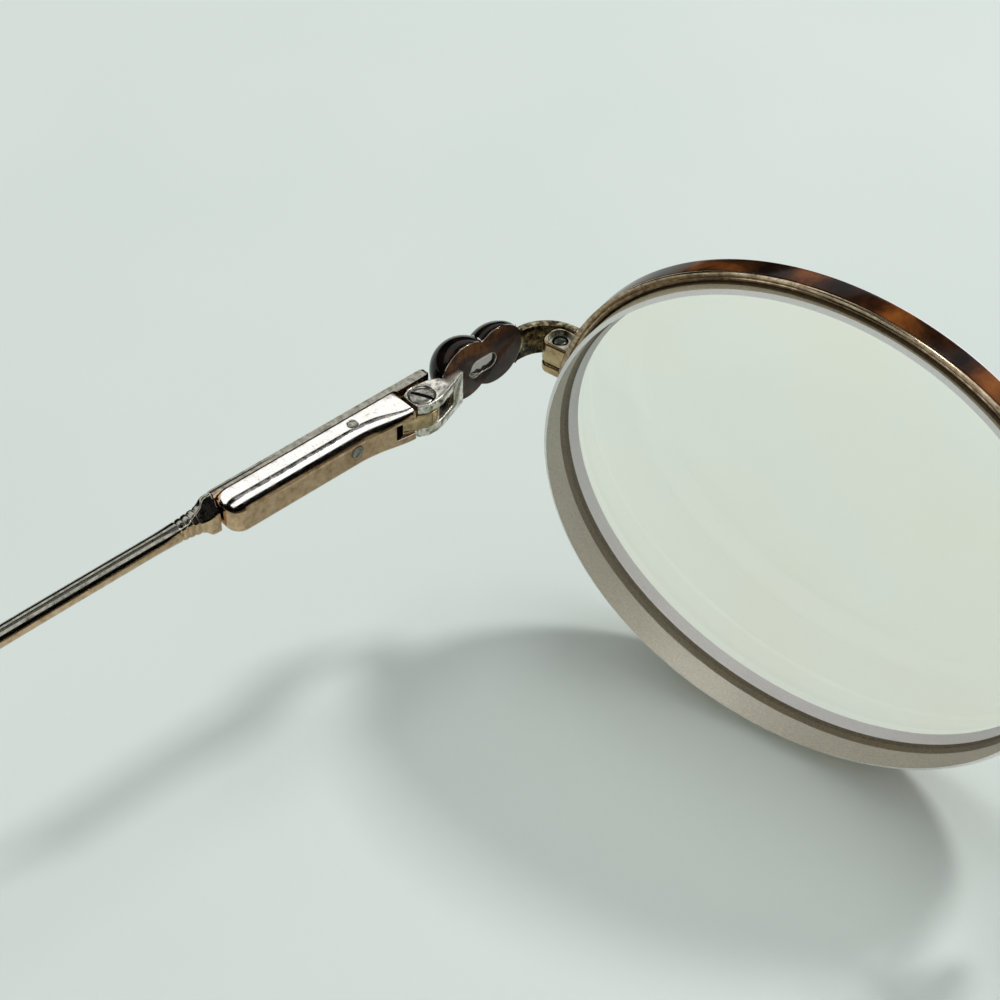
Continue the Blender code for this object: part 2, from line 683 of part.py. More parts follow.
def hinge_screw():
    """Slotted countersunk screw that is the axle of the hinge."""
    profile = [
        (0.0, 0.0),
        (SCREW_HEAD_RADIUS, 0.0),
        (SCREW_HEAD_RADIUS, -0.0001),
        (SCREW_SHANK_RADIUS, -SCREW_HEAD_DEPTH),
        (SCREW_SHANK_RADIUS, -HINGE_HEIGHT + 0.00005),
        (0.0, -HINGE_HEIGHT + 0.00005),
    ]
    screw = add_piece("left_hinge_screw", turned(profile, 24), HINGE_FRAME, STEEL)
    reach = SCREW_HEAD_RADIUS + 0.001
    low = (-reach, -SCREW_SLOT_WIDTH / 2, -SCREW_SLOT_DEPTH)
    slot = block(low, (reach, SCREW_SLOT_WIDTH / 2, 0.001))
    moved(slot, Matrix.Rotation(SCREW_SLOT_ANGLE, 4, "Z"))
    combine(screw, add_cutter("screw_slot", slot))
    return screw


def tongue_heights():
    high = -LEAF_THICKNESS - TONGUE_CLEARANCE
    return -HINGE_HEIGHT + LEAF_THICKNESS + TONGUE_CLEARANCE, high


def hinge_tongue():
    """Middle knuckle on a block that slides in the box's mouth, with a shank for the rod."""
    low, high = tongue_heights()
    outline = [
        *arc((0.0, 0.0), TONGUE_RADIUS, 160, 360, 16),
        (TONGUE_RADIUS, TONGUE_LENGTH),
        (BOX_INNER_FACE - 0.0002, TONGUE_LENGTH),
    ]
    bm = plate(outline, low, high)
    tongue = add_piece("left_hinge_tongue", bm, HINGE_FRAME, BRASS)
    wide = ROD_RADIUS + 0.00014
    shank = block(
        (ROD_X - wide, TONGUE_LENGTH - 0.0005, ROD_Z - wide),
        (ROD_X + wide, TONGUE_LENGTH + SHANK_LENGTH, ROD_Z + wide),
    )
    combine(tongue, add_cutter("tongue_shank", shank), "UNION")
    bore = cylinder(SCREW_SHANK_RADIUS + RUNNING_CLEARANCE, -0.004, 0.001, 24)
    combine(tongue, add_cutter("tongue_bore", bore))
    rod_bore = along_temple(cylinder(ROD_RADIUS + SEAT_GAP, 0.0008, 0.004, 12), TONGUE_LENGTH)
    combine(tongue, add_cutter("rod_seat", rod_bore))
    return tongue


def along_temple(bm, start, x=ROD_X, z=ROD_Z):
    """Lays a shape drawn about Z along the temple, from a given place."""
    turn = Matrix.Rotation(math.radians(-90), 4, "X")
    return moved(bm, Matrix.Translation((x, start, z)) @ turn)


def spring_parts():
    """Rod from the tongue, stop in the box, coil spring between them, and nut."""
    rod_start = TONGUE_LENGTH + 0.0008 + SEAT_GAP
    spring_start = STOP_START + STOP_LENGTH + SPRING_WIRE_RADIUS + 0.00005
    spring_length = SPRING_TURNS * SPRING_PITCH
    nut_start = spring_start + spring_length + SPRING_TRAVEL + SPRING_WIRE_RADIUS + 0.0001
    rod = along_temple(cylinder(ROD_RADIUS, 0.0, nut_start + NUT_LENGTH - rod_start, 12), rod_start)
    add_piece("left_spring_rod", rod, HINGE_FRAME, STEEL)
    bore = ROD_RADIUS + SEAT_GAP
    ring = [(NUT_RADIUS, NUT_LENGTH - 0.0002), (NUT_RADIUS, 0.0), (bore, 0.0)]
    ring.append((bore, NUT_LENGTH - 0.0002))
    nut = along_temple(turned(ring, 12, closed=True), nut_start)
    add_piece("left_rod_nut", nut, HINGE_FRAME, BRASS)
    fit = SEAT_GAP
    low_z = ROD_Z - CHANNEL_HEIGHT / 2 + fit
    high_z = ROD_Z + CHANNEL_HEIGHT / 2 - fit
    low = (CHANNEL_START_X + fit, STOP_START, low_z)
    stop = add_piece(
        "left_spring_stop",
        block(low, (CHANNEL_END_X - fit, STOP_START + STOP_LENGTH, high_z)),
        HINGE_FRAME,
        BRASS,
    )
    hole = cylinder(ROD_RADIUS + RUNNING_CLEARANCE, -0.001, STOP_LENGTH + 0.001, 12)
    combine(stop, add_cutter("stop_bore", along_temple(hole, STOP_START)))
    for name, bm in stop_pins(high_z).items():
        place = STEEL if name == "left_stop_rivet" else BRASS
        add_piece(name, bm, HINGE_FRAME, place)
    for name, bm in stop_pins(high_z, SEAT_GAP).items():
        combine(stop, add_cutter(name + "_seat", bm))
    per_turn = 8
    points = []
    for i in range(SPRING_TURNS * per_turn + 1):
        angle = math.tau * i / per_turn
        x = ROD_X + SPRING_RADIUS * math.cos(angle)
        z = ROD_Z + SPRING_RADIUS * math.sin(angle)
        points.append((x, spring_start + SPRING_PITCH * i / per_turn, z))
    tube("left_coil_spring", points, SPRING_WIRE_RADIUS, HINGE_FRAME, STEEL, resolution=1)


def stop_pins(stop_top, grow=0.0):
    """Rivet down through the box's top and stud through its inner face, into the stop."""
    middle = STOP_START + STOP_LENGTH / 2
    rivet = cylinder(RIVET_RADIUS + grow, stop_top - 0.0002 - grow, 0.00003 + grow, 16)
    moved(rivet, Matrix.Translation((RIVET_X, middle - 0.0004, 0.0)))
    stud_length = ROD_X - ROD_RADIUS - RUNNING_CLEARANCE - 0.0002 - BOX_INNER_FACE
    stud = cylinder(STUD_RADIUS + grow, -0.00006 - grow, stud_length + grow, 16)
    place = Matrix.Translation((BOX_INNER_FACE, middle + 0.0003, ROD_Z))
    moved(stud, place @ Matrix.Rotation(math.radians(90), 4, "Y"))
    return {"left_stop_rivet": rivet, "left_stop_stud": stud}


def box_section(inner, bottom, top, outer, share):
    """Section of the box: square at the bar, rounded towards the wearer, most on top."""
    large, small = BOX_ROUND * share, BOX_LOWER_ROUND * share
    upper = arc((inner + large, top - large), large, 90, 180, 7)
    lower = arc((inner + small, bottom + small), small, 180, 270, 4)
    return [(outer, top), *upper, *lower, (outer, bottom)]


def spring_box():
    """Hollow box along the bar: open at the hinge, closed and rounded at its tail."""
    stations = [
        (BOX_START, BOX_FLARE, 0.0, 0.5),
        (BOX_MOUTH - 0.0004, BOX_FLARE * 0.8, 0.0, 0.8),
        (BOX_MOUTH + BOX_FLARE_LENGTH * 0.5, BOX_FLARE * 0.2, 0.0, 1.0),
        (BOX_MOUTH + BOX_FLARE_LENGTH, 0.0, 0.0, 1.0),
        (BOX_END - 0.0014, 0.0, 0.0, 1.0),
        (BOX_END - 0.0009, -0.00011, 0.00008, 0.95),
        (BOX_END - 0.0005, -0.00033, 0.00025, 0.85),
        (BOX_END - 0.0002, -0.00062, 0.00048, 0.65),
        (BOX_END, -0.00105, 0.00085, 0.45),
    ]
    rings = []
    for along, flare, shrink, share in stations:
        section = box_section(
            BOX_INNER_FACE - flare, -BOX_HEIGHT + shrink, -shrink, BOX_OUTER_FACE, share
        )
        rings.append([Vector((x, along, z)) for x, z in section])
    box = add_piece("left_spring_box", loft(rings), HINGE_FRAME, PALE_GOLD)
    channel = block(
        (CHANNEL_START_X, BOX_START - 0.002, ROD_Z - CHANNEL_HEIGHT / 2),
        (CHANNEL_END_X, CHANNEL_END, ROD_Z + CHANNEL_HEIGHT / 2),
    )
    combine(box, add_cutter("box_channel", channel))
    low, high = tongue_heights()
    low, high = low - RUNNING_CLEARANCE, high + RUNNING_CLEARANCE
    mouth = block((-0.004, BOX_START - 0.002, low), (0.004, BOX_MOUTH, high))
    combine(box, add_cutter("box_mouth", mouth))
    stop_top = ROD_Z + CHANNEL_HEIGHT / 2 - SEAT_GAP
    for name, bm in stop_pins(stop_top, SEAT_GAP).items():
        combine(box, add_cutter(name + "_hole", bm))
    return box


def temple_path():
    """Centre line of wire and tip as (along, height, angle) over the length from the hinge."""
    low_edge = TIP_SHOULDER_FILL * TIP_HALF_HEIGHT * math.cos(math.pi / TIP_SIDES)
    past_edge = TIP_CAP - TIP_SHOULDER
    rest = low_edge * math.cos(EAR_BEND_ANGLE) - past_edge * math.sin(EAR_BEND_ANGLE)
    drop = FRAME_HEIGHT + HINGE_RISE + ROD_Z - rest
    arc_drop = EAR_BEND_RADIUS * (1 - math.cos(EAR_BEND_ANGLE))
    last = (drop - arc_drop) / math.sin(EAR_BEND_ANGLE)
    arc_length = EAR_BEND_RADIUS * EAR_BEND_ANGLE
    bend_start = TEMPLE_LENGTH - arc_length - last

    def at(length):
        beyond = length - bend_start
        if beyond <= 0:
            return length, ROD_Z, 0.0
        angle = min(beyond / EAR_BEND_RADIUS, EAR_BEND_ANGLE)
        along = bend_start + EAR_BEND_RADIUS * math.sin(angle)
        height = ROD_Z - EAR_BEND_RADIUS * (1 - math.cos(angle))
        rest = max(0.0, beyond - arc_length)
        along += rest * math.cos(angle)
        height -= rest * math.sin(angle)
        return along, height, angle

    return at, bend_start


def temple_ring(at, length, half_width, half_height, squareness=0.0, x=WIRE_X, sides=TIP_SIDES):
    """Ring square to the temple's centre line, between round and square."""
    along, height, angle = at(length)
    bow = -TEMPLE_BOW * (max(0.0, along - BOX_END) / TEMPLE_LENGTH) ** 2
    points = []
    for i in range(sides):
        turn = math.tau * (i + 0.5) / sides
        c, s = math.cos(turn), math.sin(turn)
        fill = 1 + squareness * (1 / max(abs(c), abs(s)) - 1)
        across = half_width * c * fill
        up = half_height * s * fill
        points.append(
            Vector((x + bow + across, along + up * math.sin(angle), height + up * math.cos(angle)))
        )
    return points


def bar_ring(along, inner, outer, shrink=0.0, cut=0.0001):
    """Ring of the bar: outer corners rounded, upper inner edge cut at 45 degrees."""
    top, bottom = -shrink, -BOX_HEIGHT + shrink
    corner = min(0.00035, (outer - inner) / 2)
    upper = arc((outer - corner, top - corner), corner, 0, 90, 4)
    lower = arc((outer - corner, bottom + corner), corner, 270, 360, 4)
    section = [*upper, (inner + cut, top), (inner, top - cut), (inner, bottom), *lower]
    return [Vector((x, along, z)) for x, z in section]


def temple_bar():
    """Flat bar outside the box, drawn down at its tail to the round temple wire."""
    at, bend_start = temple_path()
    bar = [
        bar_ring(TAB_START, TAB_INNER_FACE + 0.00022, BAR_OUTER_FACE - 0.00012, 0.0001),
        bar_ring(TAB_START + 0.0004, TAB_INNER_FACE, BAR_OUTER_FACE),
        bar_ring(BOX_START - 0.0004, TAB_INNER_FACE, BAR_OUTER_FACE),
        bar_ring(BOX_START - 0.0001, BAR_INNER_FACE, BAR_OUTER_FACE),
        bar_ring(BOX_END + SEAT_GAP, BAR_INNER_FACE, BAR_OUTER_FACE),
        bar_ring(BOX_END + 0.00014, NECK_INNER_FACE, BAR_OUTER_FACE, 0.00005, NECK_SLOPE),
        bar_ring(BOX_END + 0.0009, NECK_INNER_FACE, BAR_OUTER_FACE, 0.0002, NECK_SLOPE),
        bar_ring(BOX_END + 0.0015, WIRE_X - 0.00078, BAR_OUTER_FACE, 0.0006, 0.0007),
    ]
    neck = BOX_END + 0.0034
    sides = len(bar[0])
    core_end = TEMPLE_LENGTH - 0.004
    lengths = [neck + 0.0024, neck + 0.004, (neck + bend_start) / 2, bend_start]
    steps = 9
    for i in range(1, steps + 1):
        lengths.append(bend_start + (core_end - bend_start) * i / steps)
    taper = temple_ring(at, neck, 0.00072, 0.00077, 0.3, sides=sides)
    wires = [temple_ring(at, s, WIRE_RADIUS, WIRE_RADIUS, sides=sides) for s in lengths]
    rings = bar + [taper] + wires
    obj = add_piece("left_temple_bar", loft(aligned(rings)), HINGE_FRAME, ROSE_GOLD)
    return obj


def aligned(rings):
    """Starts each ring at the point nearest the one before it, so the skin doesn't twist."""

    def distance(ring, before):
        return sum((a - b).length_squared for a, b in zip(ring, before))

    done = [rings[0]]
    for ring in rings[1:]:
        starts = []
        for way in (ring, ring[::-1]):
            starts += [way[k:] + way[:k] for k in range(len(way))]
        done.append(min(starts, key=lambda start: distance(start, done[-1])))
    return done


def temple_tip():
    """Acetate sleeve over the end of the wire, deep and flat towards its end."""
    at, _ = temple_path()
    start = TEMPLE_LENGTH - TIP_LENGTH
    bore = WIRE_RADIUS + SEAT_GAP * 2
    core_end = TEMPLE_LENGTH - 0.004
    inner = [core_end + 0.0002 - (core_end - start) * i / 9 for i in range(10)]
    inner[-1] = start
    rings = [temple_ring(at, s, bore, bore) for s in inner]
    swell = TIP_LENGTH - TIP_CAP
    shape = [
        (0.0, 0.92, 0.0),
        (0.0003, 1.0, 0.0),
        (swell * 0.38, 1.0, 0.30),
        (swell * 0.54, 1.0, 0.50),
        (swell * 0.68, 1.0, 0.72),
        (swell * 0.82, 1.0, 0.90),
        (swell, 1.0, 1.0),
        (swell + TIP_SHOULDER, TIP_SHOULDER_FILL, 1.0),
        (TIP_LENGTH, 0.40, 1.0),
    ]
    for along, fill, grown in shape:
        half_height = TIP_MOUTH_RADIUS + (TIP_HALF_HEIGHT - TIP_MOUTH_RADIUS) * grown
        half_width = TIP_MOUTH_RADIUS + (TIP_HALF_WIDTH - TIP_MOUTH_RADIUS) * grown
        rings.append(temple_ring(at, start + along, half_width * fill, half_height * fill))
    return add_piece("left_temple_tip", loft(rings), HINGE_FRAME, TORTOISE)


def bridge():
    """Round wire from rim to rim, brazed to the eyewires' outer walls."""
    depth = RIM_DEPTH / 2
    foot = LENS_FRAME @ rim_point(WALL_RADIUS - 0.0004, depth, BRIDGE_ANGLE)
    out = LENS_FRAME @ rim_point(WALL_RADIUS + 0.0045, depth + 0.0004, BRIDGE_ANGLE)
    crown = Vector((0.0, foot.y - BRIDGE_REACH, foot.z + BRIDGE_RISE))
    lead = Vector((out.x * 0.45, crown.y, crown.z))
    half = bezier((foot, out, lead, crown), 8)
    mirrored = [Vector((-p.x, p.y, p.z)) for p in reversed(half[:-1])]
    wire = tube("bridge", half + mirrored, BRIDGE_RADIUS, Matrix.Identity(4), ROSE_GOLD, 3)
    for side, flip in (("left", Matrix.Identity(4)), ("right", MIRROR)):
        rim = rim_clearance(BRIDGE_ANGLE - 0.2, BRIDGE_ANGLE + 0.2)
        combine(wire, add_cutter(f"{side}_rim_at_bridge", moved(rim, flip @ LENS_FRAME)))
    return wire


def pad_arm():
    """Wire from the back of the rim's nose side to the pad box."""
    to_lens = LENS_FRAME.inverted() @ PAD_FRAME
    start = rim_point(RIM_HALF_WIDTH - 0.0002, -SEAT_GAP, ARM_ANGLE)
    box_back = to_lens @ Vector((PAD_BOX_DEPTH + 0.0002 + SEAT_GAP, 0.0, 0.0))
    reach = to_lens @ Vector((PAD_BOX_DEPTH + 0.0016, 0.0, 0.0))
    bow = start + Vector((-0.0010, 0.0034, 0.0))
    points = bezier((start, bow, reach, box_back), 12)
    return tube("left_pad_arm", points, ARM_RADIUS, LENS_FRAME, ROSE_GOLD)


def pad_axis():
    """Middle of the pad's pin, in the pad frame."""
    return 0.0002 + (PAD_BOX_DEPTH - PAD_BOX_WALL) / 2


def pad_parts():
    """Pad box and its screw on the arm, and the pad that rocks on the screw."""
    front = 0.0002
    half_width = PAD_BOX_WIDTH / 2
    half_height = PAD_BOX_HEIGHT / 2
    box = add_piece(
        "left_pad_box",
        block((front, -half_width, -half_height), (front + PAD_BOX_DEPTH, half_width, half_height)),
        PAD_FRAME,
        ROSE_GOLD,
    )
    round_edges(box, 0.00015, segments=1)
    gap = half_width - PAD_BOX_WALL
    floor = front + PAD_BOX_DEPTH - PAD_BOX_WALL
    slot = block((front - 0.001, -gap, -half_height - 0.001), (floor, gap, half_height + 0.001))
    combine(box, add_cutter("pad_box_slot", slot))
    across = Matrix.Translation((pad_axis(), 0.0, 0.0)) @ Matrix.Rotation(
        math.radians(90), 4, "X"
    )
    reach = half_width + 0.001
    hole = moved(cylinder(PAD_PIN_RADIUS + SEAT_GAP, -reach, reach, 12), across)
    combine(box, add_cutter("pad_box_hole", hole))
    head = half_width + SEAT_GAP
    profile = [
        (0.0, head + 0.0003),
        (0.0005, head + 0.0003),
        (0.00062, head + 0.0001),
        (0.00062, head),
        (PAD_PIN_RADIUS, head),
        (PAD_PIN_RADIUS, -half_width - 0.0001),
        (0.0, -half_width - 0.0001),
    ]
    pin = moved(turned(profile, 14), across)
    add_piece("left_pad_screw", pin, PAD_FRAME, STEEL)
    bm = bmesh.new()
    bmesh.ops.create_uvsphere(bm, u_segments=16, v_segments=9, radius=1.0)
    for vert in bm.verts:
        thick = PAD_THICKNESS * (0.62 if vert.co.x < 0 else 0.38)
        taper = 1.0 - 0.14 * vert.co.z
        vert.co = Vector(
            (vert.co.x * thick, vert.co.y * PAD_HALF_WIDTH * taper, vert.co.z * PAD_HALF_HEIGHT)
        )
        vert.co.x -= 0.0003 + PAD_THICKNESS * 0.38
    pad = add_piece("left_nose_pad", bm, PAD_FRAME, PAD_SILICONE)
    lug_half = gap - 2 * SEAT_GAP
    lug_tip = floor - 0.00022
    lug = block((-0.0012, -lug_half, -0.00075), (lug_tip, lug_half, 0.00075))
    combine(pad, add_cutter("pad_lug", lug), "UNION")
    bore = moved(cylinder(PAD_PIN_RADIUS + RUNNING_CLEARANCE, -reach, reach, 12), across)
    combine(pad, add_cutter("pad_lug_bore", bore))


def place_pieces():
    """Fixes each piece's finished mesh, sets it in its frame and mirrors the left ones."""
    bpy.context.view_layer.update()
    graph = bpy.context.evaluated_depsgraph_get()
    for obj in list(PARTS.objects):
        mesh = bpy.data.meshes.new_from_object(obj.evaluated_get(graph))
        mesh.shade_smooth()
        mesh.set_sharp_from_angle(angle=math.radians(35))
        obj.modifiers.clear()
        obj.data = mesh
        obj.matrix_world = PLACES[obj.name]
        if obj.name.startswith("left_"):
            right = bpy.data.objects.new(obj.name.replace("left_", "right_"), mesh)
            PARTS.objects.link(right)
            right.matrix_world = MIRROR @ PLACES[obj.name]
    for cutter in list(CUTTERS.objects):
        bpy.data.objects.remove(cutter, do_unlink=True)
    bpy.data.collections.remove(CUTTERS)


def joint_axes():
    """Empties on the axes that the temples and the pads turn about."""
    pad_place = PAD_FRAME @ Matrix.Translation((pad_axis(), 0.0, 0.0))
    carried = {
        "temple": (
            HINGE_FRAME,
            ("hinge_tongue", "spring_rod", "rod_nut", "spring_box", "temple_bar", "temple_tip",
             "spring_stop", "stop_rivet", "stop_stud", "coil_spring"),
        ),
        "pad": (pad_place, ("nose_pad",)),
    }
    root = bpy.data.objects.new("glasses_root", None)
    PARTS.objects.link(root)
    for side in ("left", "right"):
        for name, (place, pieces) in carried.items():
            axis = bpy.data.objects.new(f"{side}_{name}_axis", None)
            axis.empty_display_size = 0.004
            PARTS.objects.link(axis)
            axis.matrix_world = place if side == "left" else MIRROR @ place
            bpy.context.view_layer.update()
            for piece in pieces:
                obj = bpy.data.objects[f"{side}_{piece}"]
                world = obj.matrix_world.copy()
                obj.parent = axis
                obj.matrix_parent_inverse = axis.matrix_world.inverted()
                obj.matrix_world = world
    bpy.context.view_layer.update()
    for obj in list(PARTS.objects):
        if obj is not root and obj.parent is None:
            obj.parent = root
    return root


def centre_on_floor(root):
    """Moves the whole so that it stands on Z = 0 with its box centred on the Z axis."""
    bpy.context.view_layer.update()
    graph = bpy.context.evaluated_depsgraph_get()
    corners = []
    for obj in PARTS.objects:
        if obj.type == "MESH":
            drawn = obj.evaluated_get(graph)
            corners += [drawn.matrix_world @ vert.co for vert in drawn.data.vertices]
    low = [min(p[i] for p in corners) for i in range(3)]
    high = [max(p[i] for p in corners) for i in range(3)]
    root.location = (0.0, -(low[1] + high[1]) / 2, -low[2])
    bpy.context.view_layer.update()
    return root.location


def main():
    eyewire()
    rim_covers()
    lens()
    closing_block()
    endpiece_strap()
    endpiece_link()
    front_hinge()
    hinge_screw()
    hinge_tongue()
    spring_parts()
    spring_box()
    temple_bar()
    temple_tip()
    bridge()
    pad_arm()
    pad_parts()
    place_pieces()
    shift = centre_on_floor(joint_axes())
    print("model moved by", [round(v * 1000, 4) for v in shift], "mm")
    for name in ("left_temple_axis", "left_pad_axis"):
        place = bpy.data.objects[name].matrix_world
        print(name, [round(v, 6) for v in place.translation])
        print("  y axis", [round(v, 5) for v in place.col[1][:3]])


main()
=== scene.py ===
# %% [markdown]
# # Round eyeglasses: the looks
# The solids of the glasses come in as a fixed frame. This file gives them their finish: rounded edges,
# plated metal, tortoise acetate and ground lens edges. Most pieces are drawn again here from the same
# sizes with finer curves, because a mirror-like surface shows every flat facet.

# %% Load the frame
import json
import math

import bmesh
import bpy
from mathutils import Matrix, Vector


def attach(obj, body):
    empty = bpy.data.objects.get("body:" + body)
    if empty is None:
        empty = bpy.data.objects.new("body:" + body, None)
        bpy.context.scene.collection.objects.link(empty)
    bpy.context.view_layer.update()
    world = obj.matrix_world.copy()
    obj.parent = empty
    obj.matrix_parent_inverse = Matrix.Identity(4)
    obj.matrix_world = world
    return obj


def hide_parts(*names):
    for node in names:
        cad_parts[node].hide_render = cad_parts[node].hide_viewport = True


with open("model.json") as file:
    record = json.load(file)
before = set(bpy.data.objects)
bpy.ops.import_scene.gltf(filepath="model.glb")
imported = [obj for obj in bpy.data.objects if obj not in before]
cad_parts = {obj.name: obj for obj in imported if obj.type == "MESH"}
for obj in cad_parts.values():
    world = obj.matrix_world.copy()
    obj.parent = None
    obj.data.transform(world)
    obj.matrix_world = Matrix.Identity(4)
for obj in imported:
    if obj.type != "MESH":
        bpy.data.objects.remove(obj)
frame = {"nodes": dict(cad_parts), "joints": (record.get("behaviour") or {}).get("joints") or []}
nodes = frame["nodes"]
joints = {row["name"]: row for row in frame["joints"]}
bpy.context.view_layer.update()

# %% [markdown]
# ## The camera
# The photograph was taken from above and behind the left lens, so the camera stands over the wearer's
# right shoulder. Its place and angles were fitted to the rim, the lens edge and the hinge.

# %% Place the camera
RIM_HALF_WIDTH = 0.0240
RIM_HALF_HEIGHT = 0.0221
HINGE_OUT = 0.02776
HINGE_FORWARD = 0.01427
HINGE_RISE = 0.00595
CAMERA_FROM_HINGE = (-0.09124, 0.09157, 0.11331)
CAMERA_TURN, CAMERA_TILT, CAMERA_ROLL = 222.14, 46.02, 0.77
CAMERA_LENS, CAMERA_SENSOR = 79.2, 36.0


def new_object(name, data):
    """An object in the scene."""
    obj = bpy.data.objects.new(name, data)
    bpy.context.scene.collection.objects.link(obj)
    return obj


def rotated(degrees, axis):
    return Matrix.Rotation(math.radians(degrees), 4, axis)


hinge_spot = Vector(joints["left_fold"]["pos_m"])
lens_middle = hinge_spot - Vector((HINGE_OUT, HINGE_FORWARD, HINGE_RISE))
camera = new_object("photo_camera", bpy.data.cameras.new("photo_camera"))
camera.data.lens = CAMERA_LENS
camera.data.sensor_width = CAMERA_SENSOR
camera.data.clip_start = 0.002
camera.matrix_world = (
    Matrix.Translation(hinge_spot + Vector(CAMERA_FROM_HINGE))
    @ rotated(CAMERA_TURN, "Z") @ rotated(CAMERA_TILT, "X") @ rotated(CAMERA_ROLL, "Z")
)
bpy.context.scene.camera = camera
print("camera at", [round(v, 4) for v in camera.matrix_world.translation])

# %% [markdown]
# ## Frames of reference
# A piece is easiest to draw straight, about its own middle. The rim is drawn about the lens, the hinge
# and the temple about the hinge screw, the pad about its own screw. A matrix then carries each piece to
# its place, and the same matrix mirrored gives the other side of the glasses.

# %% Three drawing frames
WRAP_ANGLE = math.radians(6.8)
TEMPLE_SPLAY = math.radians(4.9)
PAD_SPOT = (-RIM_HALF_WIDTH - 0.0012, 0.0066, -0.0030)
PAD_SPLAY, PAD_LEAN = -30, -14

LENS_FRAME = Matrix.Translation(lens_middle) @ Matrix.Rotation(WRAP_ANGLE, 4, "Z")
HINGE_FRAME = Matrix.Translation(hinge_spot) @ Matrix.Rotation(-TEMPLE_SPLAY, 4, "Z")
PAD_FRAME = LENS_FRAME @ Matrix.Translation(PAD_SPOT) @ rotated(PAD_SPLAY, "Z") @ rotated(PAD_LEAN, "Y")
MIRROR = Matrix.Scale(-1, 4, (1, 0, 0))
print("lens middle at", [round(v, 4) for v in lens_middle])

# %% [markdown]
# ## Drawing helpers
# Nearly everything on a pair of glasses is a section drawn along a line, a profile turned on a lathe or
# a plate cut from sheet. These few functions draw those three, cut one shape out of another, and break
# the edges as polishing does.

# %% Sections, skins and lathe work
def rounded(corners, steps):
    """A polygon whose corners, given as (x, y, radius), are rounded off."""
    points = []
    for i, (x, y, radius) in enumerate(corners):
        here = Vector((x, y))
        before = Vector(corners[i - 1][:2]) - here
        after = Vector(corners[(i + 1) % len(corners)][:2]) - here
        if radius <= 0:
            points.append((x, y))
            continue
        reach = min(radius / math.tan(before.angle(after) / 2), before.length * 0.45, after.length * 0.45)
        first = here + before.normalized() * reach
        last = here + after.normalized() * reach
        for step in range(steps + 1):
            t = step / steps
            points.append(tuple((1 - t) ** 2 * first + 2 * t * (1 - t) * here + t * t * last))
    return points


def arc(centre, radius, start, end, steps):
    """Points on an arc in XY, in degrees."""
    turns = [math.radians(start + (end - start) * i / steps) for i in range(steps + 1)]
    return [(centre[0] + radius * math.cos(a), centre[1] + radius * math.sin(a)) for a in turns]


def facing_out(mesh):
    """Turns a closed mesh's faces outwards."""
    bm = bmesh.new()
    bm.from_mesh(mesh)
    bmesh.ops.remove_doubles(bm, verts=bm.verts, dist=1e-8)
    bmesh.ops.recalc_face_normals(bm, faces=bm.faces)
    bm.to_mesh(mesh)
    bm.free()
    return mesh


def skin(rings, bands=None):
    """A mesh over a row of rings with equal counts; bands gives each band's material number."""
    size, last = len(rings[0]), len(rings) - 1
    points = [tuple(p) for ring in rings for p in ring]
    faces, numbers = [], []
    for row in range(last):
        a, b = row * size, (row + 1) * size
        for i in range(size):
            j = (i + 1) % size
            faces.append((a + i, a + j, b + j, b + i))
            numbers.append(bands[row] if bands else 0)
    faces += [tuple(range(size))[::-1], tuple(last * size + i for i in range(size))]
    numbers += [numbers[0], numbers[-1]]
    mesh = bpy.data.meshes.new("skin")
    mesh.from_pydata(points, [], faces)
    mesh.polygons.foreach_set("material_index", numbers)
    return facing_out(mesh)


def moved(mesh, place):
    mesh.transform(place)
    return mesh


def turned(profile, sides, place=Matrix.Identity(4)):
    """A solid turned about Z from (radius, height) points that start and end on the axis."""
    turns = [math.tau * i / sides for i in range(sides)]
    wide = [(max(radius, 1e-6), height) for radius, height in profile]
    return moved(skin([[Vector((r * math.cos(a), r * math.sin(a), h)) for a in turns] for r, h in wide]), place)


def rod(radius, low, high, sides, place=Matrix.Identity(4)):
    """A plain cylinder about Z, most often a cutter."""
    return turned([(0.0, low), (radius, low), (radius, high), (0.0, high)], sides, place)


def plate(outline, bottom, top):
    """A flat outline in XY with a thickness."""
    return skin([[Vector((x, y, level)) for x, y in outline] for level in (bottom, top)])


def block(low, high):
    """A box between two corners."""
    outline = [(low[0], low[1]), (high[0], low[1]), (high[0], high[1]), (low[0], high[1])]
    return plate(outline, low[2], high[2])


def along_line(points, radius, sides):
    """A wire of round section that follows a line of points."""
    turns = [math.tau * k / sides for k in range(sides)]
    rings = []
    side = None
    for i, point in enumerate(points):
        ahead = (points[min(i + 1, len(points) - 1)] - points[max(i - 1, 0)]).normalized()
        if side is None:
            side = ahead.orthogonal().normalized()
        side = (side - ahead * side.dot(ahead)).normalized()
        up = ahead.cross(side)
        rings.append([point + radius * (side * math.cos(a) + up * math.sin(a)) for a in turns])
    return skin(rings)


def curve_points(corners, steps):
    """Points on a cubic curve through its first and last corner."""
    points = []
    for i in range(steps + 1):
        t = i / steps
        shares = ((1 - t) ** 3, 3 * t * (1 - t) ** 2, 3 * t * t * (1 - t), t**3)
        points.append(sum((s * Vector(c) for s, c in zip(shares, corners)), Vector()))
    return points


print("drawing helpers ready")

# %% [markdown]
# Holes, slots and windows are cut with Booleans, and a fine bevel then breaks the sharp edges. On the
# real part polishing does that, and the thin rounded edge is what catches the light. The modifiers are
# applied at once, so each piece ends as a plain mesh.

